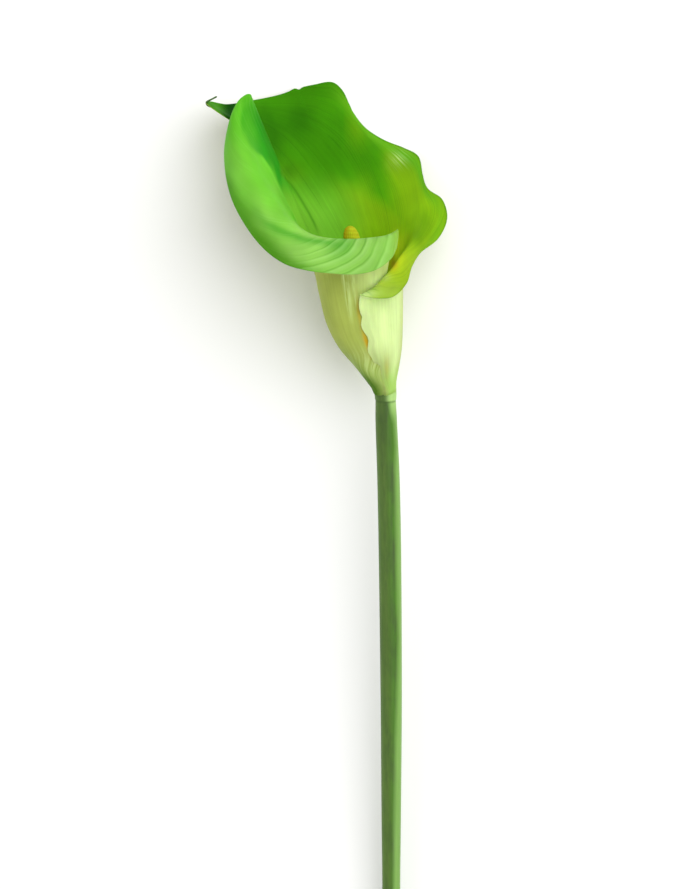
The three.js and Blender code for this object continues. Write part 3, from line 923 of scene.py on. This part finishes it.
@dataclass
class Spadix:
    """The finger in the tube, covered with small florets in crossing spirals."""

    head: HeadFrame
    form: SpatheForm = field(default_factory=SpatheForm)
    length: float = 69.4
    radius: float = 4.0
    foot_narrowing: float = 0.72
    tip_height: float = 7.0
    tip_power: float = 2.4
    foot_height: float = 0.3
    lean: float = 4.7  # how far its tip leans to the left of the tube's middle
    florets_around: int = 11
    floret_rise: float = 1.7
    floret_relief: float = 0.2
    ridge_relief: float = 0.06  # five low ridges that wind round it
    rows: int = 260
    sides: int = 128

    def centre(self, height: Array) -> Array:
        """The sideways place of the finger's middle: the tube's own, then a lean to the left."""
        tube = Track(self.form.tube[:, 0], self.form.tube[:, 1]).at(np.minimum(height, 40.0))
        return tube - self.lean * smooth(38, 72.6, height)

    def build(self) -> bpy.types.Object:
        """Builds the finger: a round body that swells from the foot, tapers, and closes in a round tip.

        The florets are bumps where two sets of spirals cross: the product of two cosines of the turn and
        the height.

        Returns:
            The spadix's object.
        """
        t = np.linspace(0, 1, self.rows)
        height = lerp(self.foot_height, self.length, t + 0.09 * np.sin(math.pi * t) * t)
        body = self.radius * lerp(self.foot_narrowing, 1.0, smooth(0, 16, height))
        body = body * lerp(1.0, 0.9, smooth(30, self.length, height))
        into_tip = np.clip((height - (self.length - self.tip_height)) / self.tip_height, 0, 0.9995)
        radius = body * np.sqrt(np.maximum(1 - into_tip**self.tip_power, 0))
        turn = np.linspace(0, 2 * math.pi, self.sides, endpoint=False)
        r, a = np.meshgrid(radius, turn, indexing="ij")
        h = np.broadcast_to(height[:, None], r.shape)
        spiral = h / self.floret_rise * math.pi
        bumps = np.cos(self.florets_around * a + spiral) * np.cos(self.florets_around * a - spiral)
        shown = smooth(3, 8, h) * np.clip(r / 2, 0, 1)
        grown = r + self.floret_relief * (bumps - 1) * 0.5 * shown
        grown = grown + self.ridge_relief * np.sin(5 * a + h * 0.4) * shown
        points = np.stack([grown * np.sin(a) + self.centre(h), h, grown * np.cos(a)], -1)
        ends = np.array([[self.centre(np.array(end)), end, 0] for end in (self.foot_height, self.length)])
        place = self.head.to_row(np.concatenate([points.reshape(-1, 3), ends]))
        # bump and side let the material paint shade in the furrows and on the left
        marks = {"bump": np.append(bumps, [0, 0]), "side": np.append(np.sin(a), [0, 0])}
        piece = make_piece("spadix_finger", place, tube_faces(*r.shape), marks, "spadix")
        piece.data.materials.append(FloretSkin().material())
        return piece


# Stem


@dataclass
class Stem:
    """The smooth round stalk with its low collar and its cut end."""

    head: HeadFrame
    line: Array = field(default_factory=lambda: np.array([
        [-320, 1.9, 3.75], [-209, 2.2, 3.8], [-180, 2.2, 4.1], [-130, 2.2, 4.5], [-71, 1.7, 4.75],
        [-37, 1.05, 4.75], [-12, 0.1, 4.55], [-4, -0.1, 4.35], [0, -0.2, 4.6],
    ], float))  # height, sideways place, radius
    rows: int = 300
    sides: int = 96
    bevel: float = 0.35
    cut_rings: tuple[float, ...] = (0.0, 0.35, 0.62, 0.8, 0.9, 0.965)  # shares of the radius on the cut face
    cut_dip: float = 0.3  # how far the cut face dips
    collar_relief: float = 0.14
    groove_relief: float = 0.06  # the fine groove below the collar
    light_shift: tuple[tuple[float, ...], ...] = (
        (-190, -147, -105, -71, -33, -23, -14, -9, -4),
        (0.28, 0.16, -0.12, 0, -0.02, -0.2, -0.15, 0.12, 0.3),
    )  # heights, and how far the painted light of the right side reaches over to the left there

    def build(self) -> bpy.types.Object:
        """Builds the stalk as rings along its own line, with faint ribs and a collar above a fine groove.

        The cut end is a small bevel and a face that dips a little to the middle; the top is closed flat.

        Returns:
            The stem's object.
        """
        length = -self.line[0, 0]
        t = np.linspace(0, 1, self.rows)
        y = -length + self.bevel + (length - self.bevel) * (1 - (1 - t) ** 1.5)
        radius = Track(self.line[:, 0], self.line[:, 2]).at(y)
        cut_share = np.array(self.cut_rings)
        cut_y = -length + self.cut_dip * (1 - (cut_share / cut_share[-1]) ** 2)
        y = np.concatenate([cut_y[1:], y])
        radius = np.concatenate([cut_share[1:] * radius[0], radius])
        on_cut = np.concatenate([np.ones(len(cut_share) - 1), np.zeros(self.rows)])
        turn = np.linspace(0, 2 * math.pi, self.sides, endpoint=False)
        r, a = np.meshgrid(radius, turn, indexing="ij")
        h, cut = (np.broadcast_to(values[:, None], r.shape) for values in (y, on_cut))
        ribs = 0.035 * (np.cos(13 * a + 0.004 * h) - 1) + 0.02 * (np.cos(29 * a) - 1)
        fade = smooth(-length, -length + 2, h) * (1 - smooth(-4, -1, h))
        collar = h + np.clip(np.cos(a), 0, 1)
        raised = smooth(-3.8, -3.3, collar) * (1 - smooth(-1.2, 0, h))
        grown = r + ribs * (1 - cut) * fade + self.collar_relief * raised
        grown = grown - self.groove_relief * bell(collar, -4.0, 0.35)
        right = np.sin(a)
        x = grown * right + Track(self.line[:, 0], self.line[:, 1]).at(h)
        points = self.head.press(np.stack([x, h, grown * np.cos(a)], -1))
        ends = np.array([[self.line[0, 1], cut_y[0], 0], [self.line[-1, 1], 0, 0]])
        place = self.head.to_row(np.concatenate([points.reshape(-1, 3), ends]))
        # painted shade on the left at two heights, a painted highlight on the collar's right and painted
        # light at the top right
        shady = (0.5 * bell(h, -20, 9) + 0.3 * bell(h, -105, 15)) * (1 - smooth(0.2, 0.6, right))
        above = 0.7 * smooth(-12, -5, h) * smooth(0.2, 0.8, right)
        collar_highlight = np.maximum(raised * smooth(-0.3, 0.6, right), above)
        # side and lit paint light on the right and shade on the left; shady is painted shade, also in the
        # groove under the collar
        marks = {
            "side": np.append(right, [0, 0]),
            "cut": np.append(cut, [1, 0]),
            "lit": np.append(right + np.interp(h, *self.light_shift), [0, 0]),
            "collar": np.append(collar_highlight, [0, 0]),
            "shady": np.append(bell(collar, -3.9, 0.35) + shady, [0, 0]),
        }
        piece = make_piece("stem_stalk", place, tube_faces(*r.shape), marks, "stem")
        piece.data.materials.append(StemSkin().material())
        return piece


# Finishes


@dataclass(frozen=True)
class SpatheSkin:
    """Living spathe tissue, a waxy leaf-like sheet: a broad gloss, light that glows through, fine veins."""

    middle: str = "48980c"
    # painted shade on the far wall; also the colour of the dark lines and the specks
    deep: str = "2d7008"
    # painted light on the far wall; also the base green of the outer face
    sunny: str = "80ae12"
    veiled: str = "70b42e"
    # painted light: a paler green laid on the lobe and on the foot's right side
    painted_light: str = "9ad85c"
    # painted shade along the left lobe's outline
    side: str = "448a08"
    # the tip's dark green, deepened by painted shade
    dark_tip_and_shade: str = "0c4404"
    fresh: str = "64ba2a"
    flap: str = "84ba50"
    # painted shade on the left lobe's inner side, near its crest and under its rim
    crest_shade: str = "228c12"
    shade: str = "32961a"
    lip: str = "8eae1e"
    golden: str = "ccdc24"
    rim: str = "60a41a"
    # painted light on the tube's right side, under the flap and along the lip; also the pale streaks
    pale: str = "d4ea9e"
    olive: str = "a6b456"
    # the painted glow along the seam and low on the right, and the orange spot
    warm: str = "c8a020"
    foot: str = "9caf5e"
    # painted shade on the foot's left side
    foot_shade_green: str = "50761e"
    vein: str = "2c7410"
    light_vein: str = "c8f49c"
    sheen: str = "b0f060"
    roughness: float = 0.46
    specular: float = 0.05
    furrow_depth: float = 0.00025  # metres
    main_veins: float = 33.0  # on each half of the sheet, 3 to 6 mm apart near the rim
    fine_veins: float = 2.3  # for each main vein
    fibres: float = 60.0  # across each half, about 3 mm apart near the rim: real ones are too fine to show
    fibre_length: float = 5.0  # along the rise, 10 to 30 mm each
    bend: float = 0.03  # how far the veins wander
    bend_scale: float = 60.0  # per metre, over about 17 mm
    cloud_scale: float = 45.0  # per metre: cloudy tones of about 22 mm
    speck_scale: float = 55.0  # per metre: one small dark speck in about 18 mm
    marks: tuple[str, ...] = (
        "vein", "rise", "inner", "past_fold", "crest_shade", "deep", "sunny", "shade", "golden", "lip", "rim",
        "dark_line", "lighter", "dark_tip_and_shade", "flap", "pleated", "pale", "olive", "warm", "streaks", "foot",
        "foot_shade", "lit_foot",
    )

    def steps(self) -> tuple[tuple[str | float, ...], ...]:
        """The arithmetic between the marks and the coats, in order.

        Returns:
            For each step the result's name, the operation and its inputs, by name or as numbers. RANGE
            carries a value from one range to another, and holds it at the ends.
        """
        return (
            ("outside", "SUBTRACT", 1.0, "inner"),
            ("beyond", "RANGE", "past_fold", -1.0, 1.0),
            ("before", "SUBTRACT", 1.0, "beyond"),
            ("rolled", "MULTIPLY", "before", "inner"),
            ("behind", "SUBTRACT", "inner", "rolled"),
            ("above", "RANGE", "rise", 0.56, 0.66),
            ("front", "MULTIPLY", "rolled", "above"),
            ("not_front", "SUBTRACT", 1.0, "front"),
            ("plain", "SUBTRACT", 1.0, "pleated"),
            ("calm", "MULTIPLY", "front", "plain"),
            ("streaky_fibre", "RANGE", "fibre", 0.42, 0.6),
            ("turned", "MULTIPLY", "bent", -self.main_veins),
            ("past_vein", "FRACT", "turned"),
            ("groove_end", "RANGE", "past_vein", 0.14, 0.0),
            ("groove_start", "RANGE", "past_vein", 0.9, 1.0),
            ("any_groove", "MAXIMUM", "groove_end", "groove_start"),
            ("band_start", "RANGE", "past_vein", 0.1, 0.24),
            ("band_end", "RANGE", "past_vein", 0.75, 0.2),
            ("any_band", "MULTIPLY", "band_start", "band_end"),
            ("worn", "RANGE", "patchy", 0.3, 0.55),
            ("worn_pleats", "MULTIPLY", "worn", "pleated"),
            ("groove", "MULTIPLY", "any_groove", "worn_pleats"),
            ("band", "MULTIPLY", "any_band", "worn_pleats"),
            ("fine_turn", "MULTIPLY", "bent", self.main_veins * self.fine_veins * math.pi),
            ("fine_wave", "COSINE", "fine_turn"),
            ("fine_height", "ABSOLUTE", "fine_wave"),
            ("fine_line", "POWER", "fine_height", 10.0),
            ("fine_patch", "RANGE", "patchy", 0.48, 0.68),
            ("fine_share", "MULTIPLY", "fine_patch", "plain"),
            ("fine", "MULTIPLY", "fine_line", "fine_share"),
            ("unrolled", "MULTIPLY_ADD", "outside", -0.85, "not_front"),
            ("speck_disc", "RANGE", "speck_distance", 0.028, 0.016),
            ("fibre_tone", "RANGE", "fibre", 0.25, 0.75, -0.1, 0.1),
            ("fibre_share", "MULTIPLY_ADD", "calm", -0.65, 1.0),
            ("fibre_shift", "MULTIPLY", "fibre_tone", "fibre_share"),
            ("fibre_shade", "ADD", "fibre_shift", 1.0),
            ("cloud_shade", "RANGE", "cloud", 0.25, 0.75, 0.86, 1.14),
            ("tone", "MULTIPLY", "cloud_shade", "fibre_shade"),
            ("fine_dip", "MULTIPLY", "fine", -0.3),
            ("uneven", "MULTIPLY_ADD", "fibre", 0.3, "fine_dip"),
            ("smoothed", "MAXIMUM", "calm", "outside"),
            ("uneven_share", "MULTIPLY_ADD", "smoothed", -0.88, 1.0),
            ("relief", "MULTIPLY", "uneven", "uneven_share"),
            ("pleat_edge", "RANGE", "past_vein", 1.0, 0.8),
            ("pleat_slope", "MULTIPLY", "past_vein", "pleat_edge"),
            ("pleat", "MULTIPLY", "pleat_slope", "pleated"),
            ("pleat_relief", "MULTIPLY_ADD", "pleat", -0.8, "relief"),
            ("groove_dip", "MULTIPLY", "groove", 0.6),
            ("height", "SUBTRACT", "pleat_relief", "groove_dip"),
            ("dullness", "RANGE", "fibre", 0.25, 0.75, self.roughness - 0.05, self.roughness + 0.08),
        )

    def coats(self) -> tuple[tuple[str | float, ...], ...]:
        """The colours that are laid over the middle green, in order.

        Returns:
            For each coat its colour and the factors whose product is its share.
        """
        return (
            (self.sunny, "sunny"),
            (self.veiled, "lighter", "behind"),
            (self.deep, "deep"),
            (self.shade, "shade", "behind"),
            (self.rim, "rim"),
            (self.fresh, "front"),
            (self.flap, "flap"),
            (self.lip, "lip"),
            (self.painted_light, "lighter", "rolled"),
            (self.crest_shade, "crest_shade"),
            (self.side, "dark_tip_and_shade", "rolled"),
            (self.dark_tip_and_shade, "dark_tip_and_shade", "behind"),
            (self.sunny, "outside"),
            (self.olive, "olive"),
            (self.pale, "pale"),
            (self.foot, "foot"),
            (self.painted_light, "lit_foot"),
            (self.foot_shade_green, "foot_shade"),
            (self.golden, "golden"),
            (self.warm, "warm"),
            (self.pale, "streaks", "streaky_fibre"),
            (self.vein, "groove", 0.4),
            (self.light_vein, "band", 0.22),
            (self.vein, "fine", "unrolled", 0.4),
            (self.light_vein, "fine", "front", 0.06),
            (self.deep, "dark_line", 0.6),
            (self.deep, "speck_disc", "inner", 0.6),
        )

    def material(self) -> bpy.types.Material:
        """Makes the material: zones by the marks, then pleats, veins and fibres along the vein coordinate.

        Returns:
            The material.
        """
        material = blank_material("waxy_spathe_tissue")
        tree = material.node_tree
        made = {name: add_node(tree, "Attribute", attribute_name=name).outputs["Fac"] for name in self.marks}
        place = add_node(tree, "TexCoord").outputs["Object"]
        clouds = {"Vector": place, "Scale": self.cloud_scale, "Detail": 4.0}
        made["cloud"] = add_node(tree, "TexNoise", clouds)
        made["speck_distance"] = add_node(tree, "TexVoronoi", {"Vector": place, "Scale": self.speck_scale})
        wander = add_node(tree, "TexNoise", {"Vector": place, "Scale": self.bend_scale, "Detail": 2.0})
        wander = add_node(tree, "Math", {0: wander, 1: made["rise"]}, operation="MULTIPLY")
        bent = add_node(tree, "Math", {0: wander, 1: self.bend, 2: made["vein"]}, operation="MULTIPLY_ADD")
        across = add_node(tree, "Math", {0: bent, 1: self.fibres}, operation="MULTIPLY")
        lengthwise = add_node(tree, "Math", {0: made["rise"], 1: self.fibre_length}, operation="MULTIPLY")
        along = add_node(tree, "CombineXYZ", {"X": across, "Y": lengthwise})
        made["bent"] = bent
        fibres = {"Vector": along, "Scale": 1.0, "Detail": 3.0, "Roughness": 0.6}
        made["fibre"] = add_node(tree, "TexNoise", fibres)
        made["patchy"] = add_node(tree, "TexNoise", {"Vector": along, "Scale": 0.4, "Detail": 2.0})
        for name, operation, *inputs in self.steps():
            feeds = {number: made.get(value, value) for number, value in enumerate(inputs)}
            kind, settings = ("MapRange", {}) if operation == "RANGE" else ("Math", {"operation": operation})
            made[name] = add_node(tree, kind, feeds, **settings)

        colour = linear(self.middle)
        for shade, first, *factors in self.coats():
            share = made[first]
            for factor in factors:
                share = add_node(tree, "Math", {0: share, 1: made.get(factor, factor)}, operation="MULTIPLY")
            colour = add_node(tree, "Mix", {0: share, 6: colour, 7: linear(shade)}, data_type="RGBA")
        grey = add_node(tree, "CombineXYZ", {axis: made["tone"] for axis in "XYZ"})
        colour = add_node(tree, "Mix", {0: 1.0, 6: colour, 7: grey}, data_type="RGBA", blend_type="MULTIPLY")
        relief = {"Height": made["height"], "Strength": 1.0, "Distance": self.furrow_depth}
        bump = add_node(tree, "Bump", relief)
        shader = add_node(tree, "BsdfPrincipled", {
            "Base Color": colour,
            "Roughness": made["dullness"],
            "IOR": 1.45,
            "Specular IOR Level": self.specular,
            "Specular Tint": linear(self.sheen),
            "Subsurface Weight": 0.3,
            "Subsurface Radius": (0.6, 1.0, 0.25),
            "Subsurface Scale": 0.0012,
            "Normal": bump,
        })
        add_node(tree, "OutputMaterial", {"Surface": shader})
        return material


@dataclass(frozen=True)
class TailSkin:
    """The tip's tough dark green thread: drier than the sheet, with a dull gloss and browned patches."""

    green: str = "2f6a1a"
    browned: str = "47581c"
    roughness: float = 0.5
    cloud_scale: float = 900.0  # per metre, patches of about 1 mm

    def material(self) -> bpy.types.Material:
        """Makes the material: dark green, browned in cloudy patches of about 1 mm.

        Returns:
            The material.
        """
        material = blank_material("dry_spathe_tail")
        tree = material.node_tree
        place = add_node(tree, "TexCoord").outputs["Object"]
        cloud = add_node(tree, "TexNoise", {"Vector": place, "Scale": self.cloud_scale, "Detail": 3.0})
        greens = {0: cloud, 6: linear(self.green), 7: linear(self.browned)}
        colour = add_node(tree, "Mix", greens, data_type="RGBA")
        surface = {"Base Color": colour, "Roughness": self.roughness, "IOR": 1.45}
        shader = add_node(tree, "BsdfPrincipled", surface)
        add_node(tree, "OutputMaterial", {"Surface": shader})
        return material


@dataclass(frozen=True)
class FloretSkin:
    """Ripe florets, matt and grainy, yellow on the bumps; ochre furrows and an amber left side are painted
    shade.
    """

    # ochre, laid as painted shade in the furrows
    furrow_shade: str = "a29a0c"
    bump: str = "c4dc2a"
    shade: str = "bc9c0c"
    roughness: float = 0.8
    grain_scale: float = 2400.0  # per metre, grains of about 0.4 mm
    grain_depth: float = 0.0002  # metres

    def material(self) -> bpy.types.Material:
        """Makes the material: ochre and yellow by the florets' relief and a fine grain, amber on the left;
        the ochre furrows and the amber left side are painted shade.

        Returns:
            The material.
        """
        material = blank_material("matt_yellow_florets")
        tree = material.node_tree
        relief = add_node(tree, "Attribute", attribute_name="bump").outputs["Fac"]
        side = add_node(tree, "Attribute", attribute_name="side").outputs["Fac"]
        place = add_node(tree, "TexCoord").outputs["Object"]
        grain = add_node(tree, "TexNoise", {"Vector": place, "Scale": self.grain_scale, "Detail": 2.0})
        raised = add_node(tree, "MapRange", {"Value": relief, 1: -1.0, 2: 1.0})
        raised = add_node(tree, "Math", {0: raised, 1: grain, 2: 0.1}, operation="MULTIPLY_ADD")
        # painted shade: amber on the left side
        left = add_node(tree, "MapRange", {"Value": side, 1: -0.2, 2: -1.0})
        colour = linear(self.furrow_shade)
        for share, shade in ((raised, self.bump), (left, self.shade)):
            colour = add_node(tree, "Mix", {0: share, 6: colour, 7: linear(shade)}, data_type="RGBA")
        bump = add_node(tree, "Bump", {"Height": grain, "Strength": 0.8, "Distance": self.grain_depth})
        shader = add_node(tree, "BsdfPrincipled", {
            "Base Color": colour,
            "Roughness": self.roughness,
            "IOR": 1.45,
            "Specular IOR Level": 0.12,
            "Subsurface Weight": 0.1,
            "Subsurface Scale": 0.0008,
            "Normal": bump,
        })
        add_node(tree, "OutputMaterial", {"Surface": shader})
        return material


@dataclass(frozen=True)
class StemSkin:
    """Smooth fleshy stalk with a waxy skin: a long soft gloss over mottled, streaked olive green."""

    olive: str = "50692e"
    green: str = "44701e"
    # painted light on the right side and at the left edge
    light: str = "7ca654"
    # the blotches, and painted shade on the left and in the groove under the collar
    dark: str = "40562a"
    # a pale collar with a painted highlight on its right
    collar: str = "bce088"
    cut: str = "c4d298"
    roughness: float = 0.4
    streaks: tuple[float, float, float] = (900.0, 22.0, 900.0)  # per metre: 1 mm across and 45 mm long
    blotches: tuple[float, float, float] = (260.0, 60.0, 260.0)  # per metre: 4 mm across and 17 mm long
    streak_depth: float = 0.0002  # metres

    def material(self) -> bpy.types.Material:
        """Makes the material: streaks and blotches of three greens, painted light and shade by side, a pale
        collar and a paler cut face.

        Returns:
            The material.
        """
        material = blank_material("fleshy_green_stalk")
        tree = material.node_tree
        names = ("side", "cut", "lit", "collar", "shady")
        mark = {name: add_node(tree, "Attribute", attribute_name=name).outputs["Fac"] for name in names}
        place = add_node(tree, "TexCoord").outputs["Object"]
        long_map = add_node(tree, "Mapping", {"Vector": place, "Scale": self.streaks})
        streaks = {"Vector": long_map, "Scale": 1.0, "Detail": 4.0, "Roughness": 0.6}
        streak = add_node(tree, "TexNoise", streaks)
        wide_map = add_node(tree, "Mapping", {"Vector": place, "Scale": self.blotches})
        blotches = {"Vector": wide_map, "Scale": 1.0, "Detail": 5.0, "Roughness": 0.65}
        blotch = add_node(tree, "TexNoise", blotches)
        # by the side: greener and lighter on the right and at the left edge, painted light; the shady coat is
        # painted shade
        lit_left = {"Value": mark["side"], 1: -0.35, 2: -0.85, 3: 0.06, 4: 0.22}
        coats = (
            (add_node(tree, "MapRange", {"Value": mark["side"], 1: -0.35, 2: 0.3}), self.green),
            (add_node(tree, "MapRange", {"Value": blotch, 1: 0.42, 2: 0.68}), self.dark),
            (add_node(tree, "MapRange", lit_left), self.light),
            (add_node(tree, "MapRange", {"Value": mark["lit"], 1: 0.35, 2: 0.78}), self.light),
            (add_node(tree, "Math", {0: mark["collar"], 1: 0.6}, operation="MULTIPLY"), self.collar),
            (add_node(tree, "Math", {0: mark["shady"], 1: 0.6}, operation="MULTIPLY"), self.dark),
        )
        colour = linear(self.olive)
        for share, shade in coats:
            colour = add_node(tree, "Mix", {0: share, 6: colour, 7: linear(shade)}, data_type="RGBA")
        tone = add_node(tree, "MapRange", {"Value": streak, 3: 0.86, 4: 1.14})
        grey = add_node(tree, "CombineXYZ", {axis: tone for axis in "XYZ"})
        colour = add_node(tree, "Mix", {0: 1.0, 6: colour, 7: grey}, data_type="RGBA", blend_type="MULTIPLY")
        colour = add_node(tree, "Mix", {0: mark["cut"], 6: colour, 7: linear(self.cut)}, data_type="RGBA")
        bump = add_node(tree, "Bump", {"Height": streak, "Strength": 0.5, "Distance": self.streak_depth})
        shader = add_node(tree, "BsdfPrincipled", {
            "Base Color": colour,
            "Roughness": self.roughness,
            "IOR": 1.45,
            "Specular IOR Level": 0.12,
            "Subsurface Weight": 0.15,
            "Subsurface Radius": (0.5, 1.0, 0.25),
            "Subsurface Scale": 0.001,
            "Normal": bump,
        })
        add_node(tree, "OutputMaterial", {"Surface": shader})
        return material


# Studio


@dataclass
class Studio:
    """A pale floor, a large soft light from the upper right, a weak fill, and the camera above the mouth."""

    head: HeadFrame
    floor_side: float = 12.0
    floor_colour: str = "f6f6f4"
    floor_roughness: float = 0.9
    lamps: tuple[tuple[str, tuple[float, float, float], float, float], ...] = (
        ("softbox_right", (0.8, 0.55, 1.55), 2.2, 33.0), ("fill_left", (-1.3, -0.4, 1.5), 1.4, 7.0),
    )  # each lamp's name, place and side in metres, and power in watts
    lit_place: float = 0.1  # how far behind the origin the lamps point, in metres
    room_light: float = 0.56
    lens: float = 250.0
    distance: float = 2593.0  # from the head frame's own plane, in millimetres
    far_clip: float = 50.0  # metres
    aim: tuple[float, float] = (-15.1, -22.5)

    def floor(self) -> None:
        """Lays a plain pale plane under the flower."""
        half = self.floor_side / 2
        mesh = bpy.data.meshes.new("floor")
        corners = [(-half, -half, 0), (half, -half, 0), (half, half, 0), (-half, half, 0)]
        mesh.from_pydata(corners, [], [(0, 1, 2, 3)])
        floor = bpy.data.objects.new("floor", mesh)
        bpy.context.scene.collection.objects.link(floor)
        material = bpy.data.materials.new("plain_pale_paper")
        material.use_nodes = True
        shader = material.node_tree.nodes["Principled BSDF"]
        shader.inputs["Base Color"].default_value = linear(self.floor_colour)
        shader.inputs["Roughness"].default_value = self.floor_roughness
        mesh.materials.append(material)

    def light(self, name: str, place: tuple[float, float, float], size: float, watts: float) -> None:
        """Hangs a square soft light that faces the head.

        Args:
            name: the light's name.
            place: where it hangs, in metres.
            size: the side of the square, in metres.
            watts: its power.
        """
        data = bpy.data.lights.new(name, "AREA")
        data.size = size
        data.energy = watts
        lamp = bpy.data.objects.new(name, data)
        bpy.context.scene.collection.objects.link(lamp)
        lamp.location = place
        direction = lamp.location.copy()
        direction.y -= self.lit_place
        lamp.rotation_mode = "QUATERNION"
        lamp.rotation_quaternion = direction.to_track_quat("Z", "Y")
        lamp.visible_camera = False

    def camera(self) -> None:
        """Sets the camera over the mouth, looking along the head frame's -Z."""
        data = bpy.data.cameras.new("camera")
        data.lens = self.lens
        data.clip_end = self.far_clip
        camera = bpy.data.objects.new("camera", data)
        bpy.context.scene.collection.objects.link(camera)
        camera.location = self.head.to_row(np.array([*self.aim, self.distance])).tolist()
        camera.rotation_euler = (self.head.tilt, 0.0, 0.0)
        bpy.context.scene.camera = camera

    def build(self) -> None:
        """Sets up the floor, the lights, the even room light and the camera."""
        self.floor()
        for name, place, size, watts in self.lamps:
            self.light(name, place, size, watts)
        world = bpy.data.worlds.new("room")
        world.use_nodes = True
        background = world.node_tree.nodes["Background"]
        background.inputs["Color"].default_value = (1, 1, 1, 1)
        background.inputs["Strength"].default_value = self.room_light
        bpy.context.scene.world = world
        bpy.context.scene.view_settings.view_transform = "Standard"
        self.camera()


def main() -> None:
    """Builds the flower piece by piece, then the studio."""
    logging.basicConfig(level=logging.INFO, format="%(message)s")
    head = HeadFrame()
    for maker in (Spathe(head), TipTail(head), Spadix(head), Stem(head)):
        piece = maker.build()
        size = [round(v / MM, 1) for v in piece.dimensions]
        LOG.info("%s: %d faces, size %s mm", piece.name, len(piece.data.polygons), size)
    Studio(head).build()


if __name__ == "__main__":
    main()
